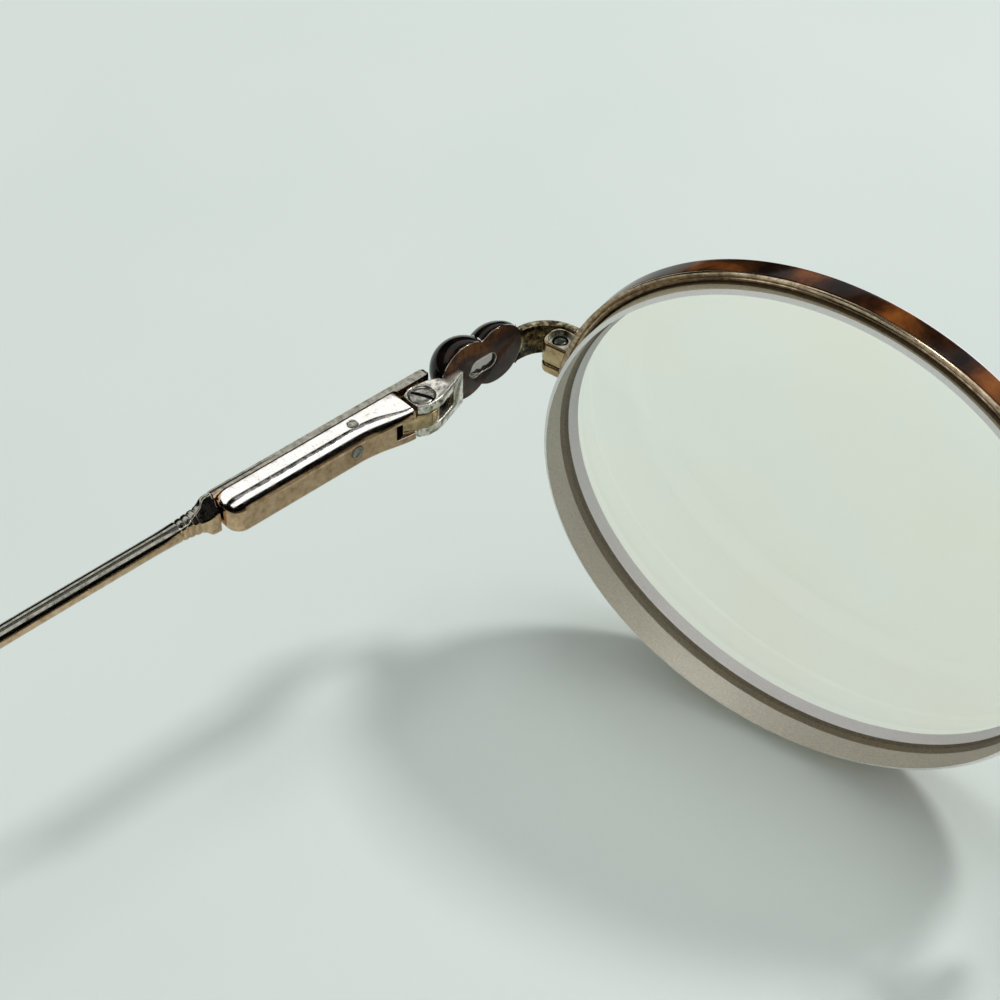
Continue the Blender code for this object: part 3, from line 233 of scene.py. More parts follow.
# %% Cutting, edge breaking and placing on both sides
def worked(mesh, cuts=(), joins=(), edge=0.0, segments=3, angle=32, edge_finish=-1):
    """A mesh with other meshes joined on and cut out, its sharp edges broken by a small bevel."""
    obj = new_object("being_worked", mesh)
    helpers = []
    for operation, others in (("UNION", joins), ("DIFFERENCE", cuts)):
        for other in others:
            helpers.append(new_object("tool", other))
            modifier = obj.modifiers.new("cut", "BOOLEAN")
            modifier.operation = operation
            modifier.solver = "EXACT"
            modifier.object = helpers[-1]
    if edge:
        modifier = obj.modifiers.new("edge", "BEVEL")
        modifier.width = edge
        modifier.segments = segments
        modifier.limit_method = "ANGLE"
        modifier.angle_limit = math.radians(angle)
        modifier.use_clamp_overlap = False
        modifier.material = edge_finish
    bpy.context.view_layer.update()
    result = bpy.data.meshes.new_from_object(obj.evaluated_get(bpy.context.evaluated_depsgraph_get()))
    for helper in helpers + [obj]:
        bpy.data.objects.remove(helper, do_unlink=True)
    return result


def finished(mesh, finishes, smooth):
    """A mesh with smooth shading, its drawn position in millimetres and its finishes."""
    mesh.shade_smooth()
    mesh.set_sharp_from_angle(angle=math.radians(smooth))
    drawn = mesh.attributes.new("drawn_mm", "FLOAT_VECTOR", "POINT")
    drawn.data.foreach_set("vector", [v * 1000 for vert in mesh.vertices for v in vert.co])
    numbers = [min(face.material_index, len(finishes) - 1) for face in mesh.polygons]
    mesh.materials.clear()
    for finish in finishes:
        mesh.materials.append(finish)
    mesh.polygons.foreach_set("material_index", numbers)
    return mesh


def hand_over(name, mesh, body, node):
    """A piece that rides on its body in place of its solid."""
    piece = new_object(name, mesh)
    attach(piece, body)
    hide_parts(node)


def dress(name, mesh, place, body, node, finishes, smooth=38):
    """Both sides of a piece, drawn in its own frame and carried to its place."""
    finished(mesh, finishes, smooth)
    for side in ("left", "right"):
        own = mesh.copy()
        own.transform(place if side == "left" else MIRROR @ place)
        if side == "right":
            own.flip_normals()
        rides_on = body if body == "front" else f"{side}_{body}"
        hand_over(f"{side}_{name}", own, rides_on, f"{side}_{node}")
    print(f"{name}: {len(mesh.polygons)} faces a side")


# %% [markdown]
# ## Finishes
# A finish starts from the real material and how its surface was made. One function turns a hex colour
# into the linear values that Blender works in, and one adds a node with its settings and links. Patterns
# are placed by the piece's own drawn position in millimetres, so they stay put when a part moves.

# %% Colour and node helpers
def linear(hex_colour):
    """Linear RGBA from an sRGB hex colour."""
    values = [int(hex_colour[i : i + 2], 16) / 255 for i in (1, 3, 5)]
    return (*[v / 12.92 if v <= 0.04045 else ((v + 0.055) / 1.055) ** 2.4 for v in values], 1.0)


def add_node(finish, kind, settings=None, values=None, links=None):
    """A node of one kind, with its settings, its sockets' values and what is linked to them."""
    node = finish.node_tree.nodes.new(kind)
    for key, value in (settings or {}).items():
        setattr(node, key, value)
    for key, value in (values or {}).items():
        node.inputs[key].default_value = value
    for key, source in (links or {}).items():
        finish.node_tree.links.new(source, node.inputs[key])
    return node


def new_finish(name, values=None):
    """A material with these values on its surface shader's own sockets."""
    finish = bpy.data.materials.new(name)
    finish.use_nodes = True
    for key, value in (values or {}).items():
        finish.node_tree.nodes["Principled BSDF"].inputs[key].default_value = value
    return finish


def feed(finish, sources):
    """Links sources to the surface shader's sockets."""
    for key, source in sources.items():
        finish.node_tree.links.new(source, finish.node_tree.nodes["Principled BSDF"].inputs[key])


def drawn_place(finish):
    """The piece's own drawn position in millimetres."""
    return add_node(finish, "ShaderNodeAttribute", {"attribute_name": "drawn_mm"}).outputs["Vector"]


def noise(finish, scale, detail, roughness=0.5, place=None):
    """A noise with so many cells a millimetre."""
    values = {"Scale": scale, "Detail": detail, "Roughness": roughness}
    where = {"Vector": drawn_place(finish) if place is None else place}
    return add_node(finish, "ShaderNodeTexNoise", {}, values, where)


def ramp(finish, stops, value):
    """The colour at a value, from (position, hex colour) pairs."""
    node = add_node(finish, "ShaderNodeValToRGB", {}, {}, {"Fac": value})
    elements = node.color_ramp.elements
    while len(elements) > 1:
        elements.remove(elements[-1])
    elements[0].position, elements[0].color = stops[0][0], linear(stops[0][1])
    for position, colour in stops[1:]:
        elements.new(position).color = linear(colour)
    return node.outputs["Color"]


def times_plus(finish, value, factor, added):
    """value * factor + added"""
    links = {0: value, 2: added}
    node = add_node(finish, "ShaderNodeMath", {"operation": "MULTIPLY_ADD"}, {1: factor}, links)
    return node.outputs["Value"]


def part_of(finish, vector, axis):
    return add_node(finish, "ShaderNodeSeparateXYZ", {}, {}, {"Vector": vector}).outputs[axis]


def relief(finish, strength, height):
    """A surface normal with scratches and pits of 0.02 mm at most."""
    values = {"Strength": strength, "Distance": 0.00002}
    return add_node(finish, "ShaderNodeBump", {}, values, {"Height": height}).outputs["Normal"]


def clouded(name, scale, detail, stops, values, roughness=0.5, on_solid=False):
    """A material whose colour follows one noise.

    A kept solid and the floor have no drawn position, so theirs is in cells a metre.
    """
    finish = new_finish(name, values)
    place = add_node(finish, "ShaderNodeTexCoord").outputs["Object"] if on_solid else drawn_place(finish)
    clouds = noise(finish, scale, detail, roughness, place)
    feed(finish, {"Base Color": ramp(finish, stops, clouds.outputs["Fac"])})
    print("made", name)
    return finish


print("linear mid grey:", [round(v, 3) for v in linear("#808080")])

# %% [markdown]
# All the metal here is plate or alloy that was polished and then worn by hands. It is a metal, so its
# colour is in its reflection and its index stays at the shader's own value. One noise over the piece
# gives both the shift in colour and the dull spots, because the same wear makes both.

# %% Worn metals
def worn_metal(name, scale, tones, dullness, strength):
    """A metal whose colour, dullness and fine relief follow one pattern of wear."""
    finish = new_finish(name, {"Metallic": 1.0})
    wear = noise(finish, scale, 7.0, 0.66)
    wear.name = "wear"
    spread = {"From Min": 0.35, "From Max": 0.65, "To Min": dullness[0], "To Max": dullness[1]}
    dull = add_node(finish, "ShaderNodeMapRange", {}, spread, {"Value": wear.outputs["Fac"]})
    feed(finish, {
        "Base Color": ramp(finish, tones, wear.outputs["Fac"]),
        "Roughness": dull.outputs["Result"],
        "Normal": relief(finish, strength, wear.outputs["Fac"]),
    })
    print("made", name)
    return finish


# Electroplated rose gold: a pink tan mirror with faint spots, about one a millimetre.
rose_gold = worn_metal(
    "rose_gold_electroplated_polished", 1.1,
    [(0.34, "#BF9C82"), (0.48, "#D6B296"), (0.66, "#E0C2A8")], (0.16, 0.09), 0.03,
)
# The eyewire is plated thinner and has gone olive where it meets the lens.
eyewire_gold = worn_metal(
    "pale_gold_plate_tarnished_olive", 2.0,
    [(0.30, "#6E5C44"), (0.47, "#A8937A"), (0.66, "#CFBDA0")], (0.24, 0.14), 0.02,
)
# Nickel silver rubbed bare on the leaves: near white, with grey tarnish in patches of half a millimetre.
nickel_silver = worn_metal(
    "nickel_silver_rubbed_bare", 1.5,
    [(0.32, "#5F5E55"), (0.42, "#A5A298"), (0.50, "#D9D6CC"), (0.8, "#EFECE4")], (0.36, 0.12), 0.08,
)
# The top of the closing block is milled and stays duller, with grime in its recess.
milled_silver = worn_metal(
    "nickel_silver_milled_with_grime", 2.0,
    [(0.34, "#5E5D52"), (0.50, "#918F82"), (0.66, "#B8B6A8")], (0.34, 0.18), 0.05,
)
# The cast link keeps a polished edge, which catches a thin bright line.
polished_edge = worn_metal(
    "nickel_silver_polished_edge", 2.4, [(0.3, "#C9C6BA"), (0.7, "#F2EFE6")], (0.14, 0.08), 0.02
)
# Brass and brazing, oxidised in patches of half a millimetre and more.
worn_brass = worn_metal(
    "brass_worn_and_oxidised", 1.4,
    [(0.40, "#2B241B"), (0.48, "#625741"), (0.56, "#A2997E"), (0.72, "#C6BDA2")], (0.42, 0.20), 0.10,
)
# The tongue and the sides of the block rub on their neighbours and stay smoother and browner.
smooth_brass = worn_metal(
    "brass_rubbed_smooth", 1.2, [(0.35, "#857256"), (0.50, "#AB956F"), (0.68, "#C2AC86")], (0.24, 0.14), 0.03
)
# Turned screw steel, with grime over the lathe marks.
screw_steel = worn_metal(
    "steel_turned_with_grime", 2.6, [(0.34, "#62625A"), (0.5, "#96968C"), (0.66, "#B9B8AE")], (0.34, 0.16), 0.05
)
# The lock screw is blackened steel with a green grey sheen.
lock_steel = worn_metal(
    "steel_blackened", 3.0, [(0.35, "#22241F"), (0.5, "#3E4239"), (0.66, "#5B5F53")], (0.36, 0.18), 0.04
)
# Grime with painted shade: dull and nearly black, so a slot reads as a dark line.
slot_grime_and_shade = clouded("slot_grime_and_painted_shade", 6.0, 3.0, [(0.4, "#0B0B09"), (0.7, "#24221C")], {"Roughness": 0.8})

# %% [markdown]
# Hands rub the tops of the spring box and the temple most. There the rose gold has gone and the pale alloy
# under it shows, while the sides keep their colour. The tops also carry a painted reflection: near white on the
# box, grey on the temple. The material mixes the two by how far the surface faces up, with the wear pattern to
# break up the border.

# %% Plate worn through on top
PLATE_TONES = [(0.33, "#A4896A"), (0.5, "#C4A684"), (0.68, "#D3B797")]


def worn_through_with_painted_top(name, scale, top_tones, border):
    """Rose gold on the sides, turning to worn-through metal with a painted reflection where the surface faces
    up.
    """
    finish = worn_metal(name, scale, PLATE_TONES, (0.20, 0.09), 0.03)
    wear = finish.node_tree.nodes["wear"].outputs["Fac"]
    upward = part_of(finish, add_node(finish, "ShaderNodeNewGeometry").outputs["Normal"], "Z")
    top_share = add_node(
        finish, "ShaderNodeMapRange", {"interpolation_type": "SMOOTHSTEP"},
        {"From Min": border[0], "From Max": border[1]}, {"Value": times_plus(finish, wear, 0.5, upward)},
    )
    plate_tone = finish.node_tree.nodes["Principled BSDF"].inputs["Base Color"].links[0].from_socket
    tones = {6: plate_tone, 7: ramp(finish, top_tones, wear)}
    both = add_node(finish, "ShaderNodeMix", {"data_type": "RGBA"}, {}, {0: top_share.outputs["Result"], **tones})
    feed(finish, {"Base Color": both.outputs[2]})
    return finish


# Box top: worn to pale metal, with a painted highlight near white.
box_plate_painted_top = worn_through_with_painted_top(
    "rose_gold_plate_bare_with_painted_highlight_on_top", 1.6, [(0.30, "#B9B7AD"), (0.40, "#EDEAE2"), (0.5, "#F8F6F0")], (0.70, 1.00)
)
# Temple top: worn through, with a painted grey reflection.
temple_plate_painted_top = worn_through_with_painted_top(
    "rose_gold_plate_worn_with_painted_grey_reflection_on_top", 1.8, [(0.32, "#5C5B50"), (0.46, "#87857A"), (0.66, "#A9A79A")], (0.55, 0.90)
)

# %% [markdown]
# Tortoise is cellulose acetate cast in coloured blocks, cut and polished. Brown and black clouds float in
# amber, a few millimetres across, under a deep gloss.

# %% Tortoise acetate, polished
# The worn polish mirrors less than a fresh one, so the dark cover stays dark at its outline.
tortoise = new_finish("tortoise_acetate_polished", {"Roughness": 0.12, "IOR": 1.48, "Specular IOR Level": 0.10})
drawn = drawn_place(tortoise)
# The clouds are 2 to 6 mm wide: a third of a cell a millimetre, bent by a slower noise.
drift = noise(tortoise, 0.12, 2.0, place=drawn)
bent = add_node(
    tortoise, "ShaderNodeVectorMath", {"operation": "MULTIPLY_ADD"}, {1: (7.0, 7.0, 7.0)},
    {0: drift.outputs["Color"], 2: drawn},
)
clouds = noise(tortoise, 0.16, 5.0, 0.55, bent.outputs["Vector"])
# The sheet is darker at the temple end of the rim, 24 mm from its middle, than at the nose.
shaded = times_plus(tortoise, part_of(tortoise, drawn, "X"), -0.0042, clouds.outputs["Fac"])
tortoise_tones = [(0.38, "#150D09"), (0.48, "#3B2110"), (0.56, "#6E3E1B"), (0.66, "#975A26"), (0.80, "#BC8038")]
feed(tortoise, {"Base Color": ramp(tortoise, tortoise_tones, shaded)})
print("made", tortoise.name)

# %% [markdown]
# The link is a casting with dark enamel on its domes. Its flat inner face keeps only a stain: brown, red
# brown and amber run into each other over the worn metal.

# %% Enamel domes and stained inner face
# Fired enamel is glass: index 1.52 and nearly smooth, so it shows the room as small sharp lights.
dome_enamel = clouded(
    "dark_enamel_fired_gloss", 0.7, 4.0, [(0.4, "#080706"), (0.58, "#16100C"), (0.75, "#3A1E10")],
    {"Roughness": 0.08, "IOR": 1.52, "Specular IOR Level": 0.16},
)
# The stain changes over 1 to 2 mm, with specks of 0.1 mm in it. It is dull, with a little metal in it.
stained_face = clouded(
    "stained_metal_amber_brown", 0.55, 8.0,
    [(0.35, "#140B07"), (0.45, "#2E160C"), (0.54, "#4A260F"), (0.62, "#6E4212"), (0.72, "#3A120A")],
    {"Roughness": 0.50, "Metallic": 0.15}, roughness=0.66,
)
# In the slot the enamel has run 0.5 mm in, and the cast metal behind it is bright.
slot_wall_finish = new_finish("cast_metal_with_enamel_run_in", {"Roughness": 0.25})
drawn = drawn_place(slot_wall_finish)
runs = noise(slot_wall_finish, 2.0, 3.0, place=drawn).outputs["Fac"]
edge_of_run = times_plus(slot_wall_finish, runs, 0.5, part_of(slot_wall_finish, drawn, "X"))
bare_wall = add_node(
    slot_wall_finish, "ShaderNodeMapRange", {}, {"From Min": 1.15, "From Max": 1.30}, {"Value": edge_of_run}
)
wall_tone = ramp(slot_wall_finish, [(0.2, "#0B0A08"), (0.8, "#F4F2EC")], bare_wall.outputs["Result"])
feed(slot_wall_finish, {"Base Color": wall_tone})
print("made", slot_wall_finish.name)

# %% [markdown]
# The lens is cast hard resin, index about 1.5, with a faint warm tint and a hard coat. Its two faces are
# polished, its edge is ground to a fine matt by the edging wheel, and a narrow safety bevel is polished.

# %% Lens resin: polished, ground and bevelled
lens_polished = clouded(
    "resin_lens_polished_tinted", 0.08, 2.0, [(0.3, "#FFFDF2"), (0.7, "#FFFFF8")],
    {"Roughness": 0.0, "IOR": 1.5, "Transmission Weight": 1.0},
)


def ground_resin(name, tones, roughness, clear):
    """Lens edge as the grinding wheel leaves it: matt, and partly see-through."""
    finish = new_finish(name, {"Roughness": roughness, "IOR": 1.5, "Transmission Weight": clear})
    # Wheel marks are finer than 0.05 mm; they are drawn about 0.2 mm apart so that they show.
    grit = noise(finish, 5.0, 6.0, 0.7).outputs["Fac"]
    feed(finish, {"Base Color": ramp(finish, tones, grit), "Normal": relief(finish, 0.3, grit)})
    print("made", name)
    return finish


# The edge behind the rim is khaki, and the bevel in the groove is painted dark with the shade of the eyewire.
lens_ground = ground_resin("resin_lens_edge_ground", [(0.3, "#A6997E"), (0.7, "#CABDA0")], 0.45, 0.35)
lens_bevel_painted_shade = ground_resin("resin_lens_bevel_painted_shade_in_groove", [(0.3, "#54462C"), (0.7, "#84724E")], 0.6, 0.0)
# In front of the groove the frosted edge is painted white as if lit from outside, and the safety bevel at the
# back is frosted white.
lens_front_edge_painted_lit = ground_resin("resin_lens_front_edge_frosted_painted_lit", [(0.3, "#EAE7EC"), (0.7, "#FBF9FB")], 0.5, 0.05)
lens_safety = ground_resin("resin_lens_safety_bevel_frosted", [(0.3, "#F0F1EA"), (0.7, "#FFFFFA")], 0.4, 0.15)

# %% [markdown]
# Pads are moulded silicone, clear and soft, a little cloudy with age: index 1.41, so its outline is
# faint. The coil springs and what goes with them are drawn steel wire.

# %% Silicone and the hidden springs
pad_silicone = clouded(
    "silicone_moulded_clear", 0.6, 4.0, [(0.3, "#E3E0D3"), (0.7, "#F1EFE8")],
    {"Roughness": 0.28, "IOR": 1.41, "Transmission Weight": 0.75},
)
# Drawing marks on the wire are drawn as streaks of about 0.1 mm.
spring_wire = clouded(
    "spring_steel_drawn", 9000.0, 4.0, [(0.35, "#77756E"), (0.65, "#A9A79F")],
    {"Roughness": 0.28, "Metallic": 1.0}, on_solid=True,
)

# %% [markdown]
# ## The rim
# A rim is drawn wire with a groove rolled in it, bent round the lens. It follows the lens's base curve,
# so each point lies a little further back the further it is from the middle. Sweeping one section round
# that path gives the eyewire, its tortoise covers and the lens edge alike.

# %% Rim path
BASE_CURVE = 0.130
RIM_DEPTH = 0.0022
RIM_LIP = 0.00060
FLANGE_WIDTH = 0.00030
COVER_WALL = 0.00032
GROOVE_DEPTH = 0.00030
GROOVE_HALF_WIDTH = 0.00050
LENS_CLEARANCE = 0.00010
SEAT_GAP = 0.00004
RUNNING_CLEARANCE = 0.00006
SQUEEZE = RIM_HALF_HEIGHT / RIM_HALF_WIDTH
WALL_RADIUS = RIM_HALF_WIDTH - COVER_WALL
LIP_RADIUS = WALL_RADIUS - RIM_LIP
LENS_RADIUS = LIP_RADIUS - LENS_CLEARANCE
EYEWIRE_DEPTH = RIM_DEPTH - 0.00026
GROOVE_MIDDLE = EYEWIRE_DEPTH / 2
MEAN_SQUARE = RIM_HALF_WIDTH**2 * (1 + SQUEEZE**2) / 2


def rim_point(radius, depth, angle):
    """A point of the rim by its depth in front of the rim's back, carried back by the base curve."""
    x = radius * math.cos(angle)
    z = radius * math.sin(angle) * SQUEEZE
    return Vector((x, (x * x + z * z - MEAN_SQUARE) / (2 * BASE_CURVE) - depth, z))


def rim_sweep(section, start, end):
    """A section of (radius, depth) points swept round the rim between two angles."""
    steps = max(3, round(360 * abs(end - start) / math.tau))
    angles = [start + (end - start) * i / steps for i in range(steps + 1)]
    return skin([[rim_point(r, d, a) for r, d in section] for a in angles])


print("rim:", RIM_HALF_WIDTH * 2000, "x", RIM_HALF_HEIGHT * 2000, "mm")

# %% Eyewire and tortoise covers
BLOCK_UPPER_HEIGHT = 0.00215
BLOCK_LOWER_HEIGHT = 0.00100
BLOCK_SPLIT = 0.00012
LOCK_X = RIM_HALF_WIDTH + 0.00050
COVER_GAP = 0.00135
BRIDGE_ANGLE = math.radians(153)


def block_angle(drop):
    """Angle round the rim of a point this far under the top of the closing block."""
    return math.atan2((HINGE_RISE - drop) / SQUEEZE, LOCK_X)


SPLIT_ANGLE = block_angle(BLOCK_UPPER_HEIGHT)
BLOCK_TOP_ANGLE = block_angle(0.0)
BLOCK_LOW_ANGLE = block_angle(BLOCK_UPPER_HEIGHT + BLOCK_LOWER_HEIGHT)
COVER_GAP_ANGLE = COVER_GAP / RIM_HALF_WIDTH

eyewire_section = rounded(
    [
        (RIM_HALF_WIDTH, 0.0, 0.00012), (RIM_HALF_WIDTH, FLANGE_WIDTH, 0.00008),
        (WALL_RADIUS, FLANGE_WIDTH, 0.0), (WALL_RADIUS, EYEWIRE_DEPTH, 0.00012),
        (LIP_RADIUS, EYEWIRE_DEPTH, 0.00015), (LIP_RADIUS, GROOVE_MIDDLE + GROOVE_HALF_WIDTH, 0.00006),
        (LIP_RADIUS + GROOVE_DEPTH, GROOVE_MIDDLE, 0.00008),
        (LIP_RADIUS, GROOVE_MIDDLE - GROOVE_HALF_WIDTH, 0.00006), (LIP_RADIUS, 0.0, 0.00015),
        (RIM_HALF_WIDTH - 0.00056, 0.0, 0.00003), (RIM_HALF_WIDTH - 0.00048, 0.00010, 0.00003),
        (RIM_HALF_WIDTH - 0.00040, 0.0, 0.00003),
    ],
    3,
)
half_split = BLOCK_SPLIT / 2 / RIM_HALF_WIDTH
eyewire = rim_sweep(eyewire_section, SPLIT_ANGLE + half_split, SPLIT_ANGLE + math.tau - half_split)
dress("eyewire_plated", eyewire, LENS_FRAME, "front", "eyewire", [eyewire_gold])

cover_wall, cover_back = WALL_RADIUS + SEAT_GAP, EYEWIRE_DEPTH + SEAT_GAP
cover_section = rounded(
    [
        (RIM_HALF_WIDTH, FLANGE_WIDTH + SEAT_GAP, 0.00006), (RIM_HALF_WIDTH, RIM_DEPTH, 0.00045),
        (LIP_RADIUS + 0.0001, RIM_DEPTH, 0.00010), (LIP_RADIUS + 0.0001, cover_back, 0.0),
        (cover_wall, cover_back, 0.0), (cover_wall, FLANGE_WIDTH + SEAT_GAP, 0.0),
    ],
    6,
)
cover_ends = {
    "upper": (BLOCK_TOP_ANGLE + COVER_GAP_ANGLE / 2, BRIDGE_ANGLE - COVER_GAP_ANGLE),
    "lower": (BRIDGE_ANGLE + COVER_GAP_ANGLE, BLOCK_LOW_ANGLE + math.tau - COVER_GAP_ANGLE / 2),
}
for half, (start, end) in cover_ends.items():
    cover = rim_sweep(cover_section, start, end)
    dress(
        f"tortoise_cover_{half}", cover, LENS_FRAME, "front", f"rim_cover_{half}",
        [tortoise],
    )

# %% [markdown]
# ## The lens
# A minus lens for a short-sighted wearer: the front bulges along the base curve and the back is
# hollowed more strongly, so the lens is thin in the middle and its edge stands out behind the rim. It is
# skinned with rings from the front's middle over the edge to the back's middle.

# %% Minus lens with ground edge and safety bevel
LENS_FRONT_DEPTH = 0.00300
LENS_BACK_CURVE = 0.060
LENS_BACK_HEIGHT = -0.00195
OPTICAL_CENTRE = (-0.0016, 0.0041)
LENS_CHAMFER = 0.00035
LENS_SHADED_TO = -0.0002
LENS_ROWS = 18
LENS_TURNS = [math.tau * i / 240 for i in range(240)]


def front_ring(radius, depth):
    return [rim_point(radius, depth, a) for a in LENS_TURNS]


def back_ring(radius, raised):
    ring = []
    for p in front_ring(radius, 0.0):
        across = (p.x - OPTICAL_CENTRE[0]) ** 2 + (p.z - OPTICAL_CENTRE[1]) ** 2
        ring.append(Vector((p.x, LENS_BACK_HEIGHT + across / (2 * LENS_BACK_CURVE) + raised, p.z)))
    return ring


face_radii = [1e-6] + [LENS_RADIUS * i / LENS_ROWS for i in range(1, LENS_ROWS)]
bevel = GROOVE_DEPTH - LENS_CLEARANCE
rings = [front_ring(r, LENS_FRONT_DEPTH) for r in [*face_radii, LENS_RADIUS]]
rings.append(front_ring(LENS_RADIUS, GROOVE_MIDDLE + bevel * 1.6))
rings.append(front_ring(LENS_RADIUS + LENS_CLEARANCE + bevel, GROOVE_MIDDLE))
rings.append(front_ring(LENS_RADIUS, GROOVE_MIDDLE - bevel * 1.6))
# The painted shade of the eyewire covers the edge to here, 0.2 mm behind the rim.
rings.append(front_ring(LENS_RADIUS, LENS_SHADED_TO))
rings.append(back_ring(LENS_RADIUS, -LENS_CHAMFER))
rings.append(back_ring(LENS_RADIUS - LENS_CHAMFER, 0.0))
rings += [back_ring(r, 0.0) for r in reversed(face_radii) if r < LENS_RADIUS - LENS_CHAMFER]
# Band by band: polished front, frosted edge with painted light, painted shade of the groove, ground edge,
# safety bevel and polished back.
edge_bands = [3, 4, 4, 4, 1, 2]
bands = [0] * LENS_ROWS + edge_bands + [0] * (len(rings) - 1 - LENS_ROWS - len(edge_bands))
dress(
    "lens_blank", skin(rings, bands), LENS_FRAME, "front", "lens",
    [lens_polished, lens_ground, lens_safety, lens_front_edge_painted_lit, lens_bevel_painted_shade], smooth=20,
)

# %% [markdown]
# ## The closing block
# A small block brazed to the rim's two ends, split across, with a screw that draws the halves together
# and the rim shut round the lens. The block is a box with well rounded corners, cut to the rim and
# drilled.

# %% Block halves and lock screw
BLOCK_OUTER = LOCK_X + 0.00127
BLOCK_CORNER = 0.00080
BLOCK_FRONT_CORNER = 0.00095
BLOCK_HALF_DEPTH = 0.00125
LOCK_Y = -0.00125
LOCK_HEAD_RADIUS = 0.00062
LOCK_HEAD_DEPTH = 0.00055
LOCK_SHANK_RADIUS = 0.00042
LOCK_RECESS_RADIUS = 0.00100
LOCK_RECESS_DEPTH = 0.00035
BLOCK_FRONT = LOCK_Y - BLOCK_HALF_DEPTH
BLOCK_BACK = LOCK_Y + BLOCK_HALF_DEPTH
CUT_PAST = 0.003
block_inner = WALL_RADIUS * math.cos(BLOCK_TOP_ANGLE) - 0.0010
block_top = HINGE_RISE
block_split = block_top - BLOCK_UPPER_HEIGHT
block_bottom = block_split - BLOCK_LOWER_HEIGHT
recess_floor = block_top - LOCK_RECESS_DEPTH
shoulder = recess_floor - LOCK_HEAD_DEPTH


def rim_room(start, end):
    """The rim's outer shape, to be cut from what is brazed to its wall."""
    outer, wall = RIM_HALF_WIDTH + SEAT_GAP, WALL_RADIUS + SEAT_GAP
    inner, far, flange = RIM_HALF_WIDTH - CUT_PAST, RIM_DEPTH + CUT_PAST, FLANGE_WIDTH + SEAT_GAP
    section = [
        (inner, -CUT_PAST), (outer, -CUT_PAST), (outer, flange), (wall, flange), (wall, far), (inner, far),
    ]
    return rim_sweep(section, start, end)


lock_place = Matrix.Translation((LOCK_X, LOCK_Y, 0.0))
head_room = LOCK_HEAD_RADIUS + RUNNING_CLEARANCE
shank_room = LOCK_SHANK_RADIUS + RUNNING_CLEARANCE
front_corner = (BLOCK_OUTER - BLOCK_FRONT_CORNER, BLOCK_FRONT + BLOCK_FRONT_CORNER)
back_corner = (BLOCK_OUTER - BLOCK_CORNER, BLOCK_BACK - BLOCK_CORNER)
block_outline = [
    (block_inner, BLOCK_FRONT), *arc(front_corner, BLOCK_FRONT_CORNER, 270, 360, 14),
    *arc(back_corner, BLOCK_CORNER, 0, 90, 14), (block_inner, BLOCK_BACK),
]
halves = {
    "upper": (block_split + BLOCK_SPLIT / 2, block_top),
    "lower": (block_bottom, block_split - BLOCK_SPLIT / 2),
}
for half, (low, high) in halves.items():
    body = worked(plate(block_outline, low, high), edge=0.00025, segments=5, angle=60)
    bores = turned(
        [
            (0.0, block_top + 0.001), (LOCK_RECESS_RADIUS, block_top + 0.001),
            (LOCK_RECESS_RADIUS, recess_floor), (head_room, recess_floor), (head_room, shoulder),
            (shank_room, shoulder), (shank_room, block_bottom - 0.001), (0.0, block_bottom - 0.001),
        ],
        48, lock_place,
    )
    body = worked(body, cuts=[rim_room(BLOCK_LOW_ANGLE - 0.3, BLOCK_TOP_ANGLE + 0.3), bores])
    for face in body.polygons:
        spot = math.hypot(face.center.x - LOCK_X, face.center.y - LOCK_Y)
        face.material_index = 1 if spot < LOCK_RECESS_RADIUS * 1.02 else 0
    dress(
        f"block_{half}_brazed", body, LENS_FRAME, "front", f"closing_block_{half}",
        [smooth_brass, milled_silver],
    )
head_top = recess_floor + 0.00012
lock_screw = turned(
    [
        (0.0, head_top), (LOCK_HEAD_RADIUS * 0.35, head_top - 0.00001),
        (LOCK_HEAD_RADIUS * 0.65, head_top - 0.00004), (LOCK_HEAD_RADIUS * 0.88, head_top - 0.00010),
        (LOCK_HEAD_RADIUS, head_top - 0.00020), (LOCK_HEAD_RADIUS, shoulder + SEAT_GAP),
        (LOCK_SHANK_RADIUS, shoulder + SEAT_GAP), (LOCK_SHANK_RADIUS, block_bottom + 0.0001),
        (0.0, block_bottom + 0.0001),
    ],
    48, lock_place,
)
dress("lock_screw_turned", lock_screw, LENS_FRAME, "front", "rim_lock_screw", [lock_steel])

# %% [markdown]
# ## Endpiece: strap and link
# A flat strap runs out of the block and bends back along the head. Its end carries the link, a casting
# of two domed lobes with a slot through it. The strap is a plate cut to a bent outline. The link is two
# turned domes joined, with a flat inner face.

# %% Strap
STRAP_THICKNESS = 0.00072
STRAP_HEIGHT = 0.00295
STRAP_BEND_RADIUS = 0.00385
LINK_FACE = 0.00050
LINK_RADIUS = 0.00275
LINK_PITCH = 0.00320
LINK_FIRST = -0.00520
LINK_MIDDLE = -0.00095


def link_lobe(number):
    """Place of a lobe's middle, with its own Z pointing outwards."""
    return Matrix.Translation((LINK_FACE, LINK_FIRST - LINK_PITCH * number, LINK_MIDDLE)) @ rotated(90, "Y")


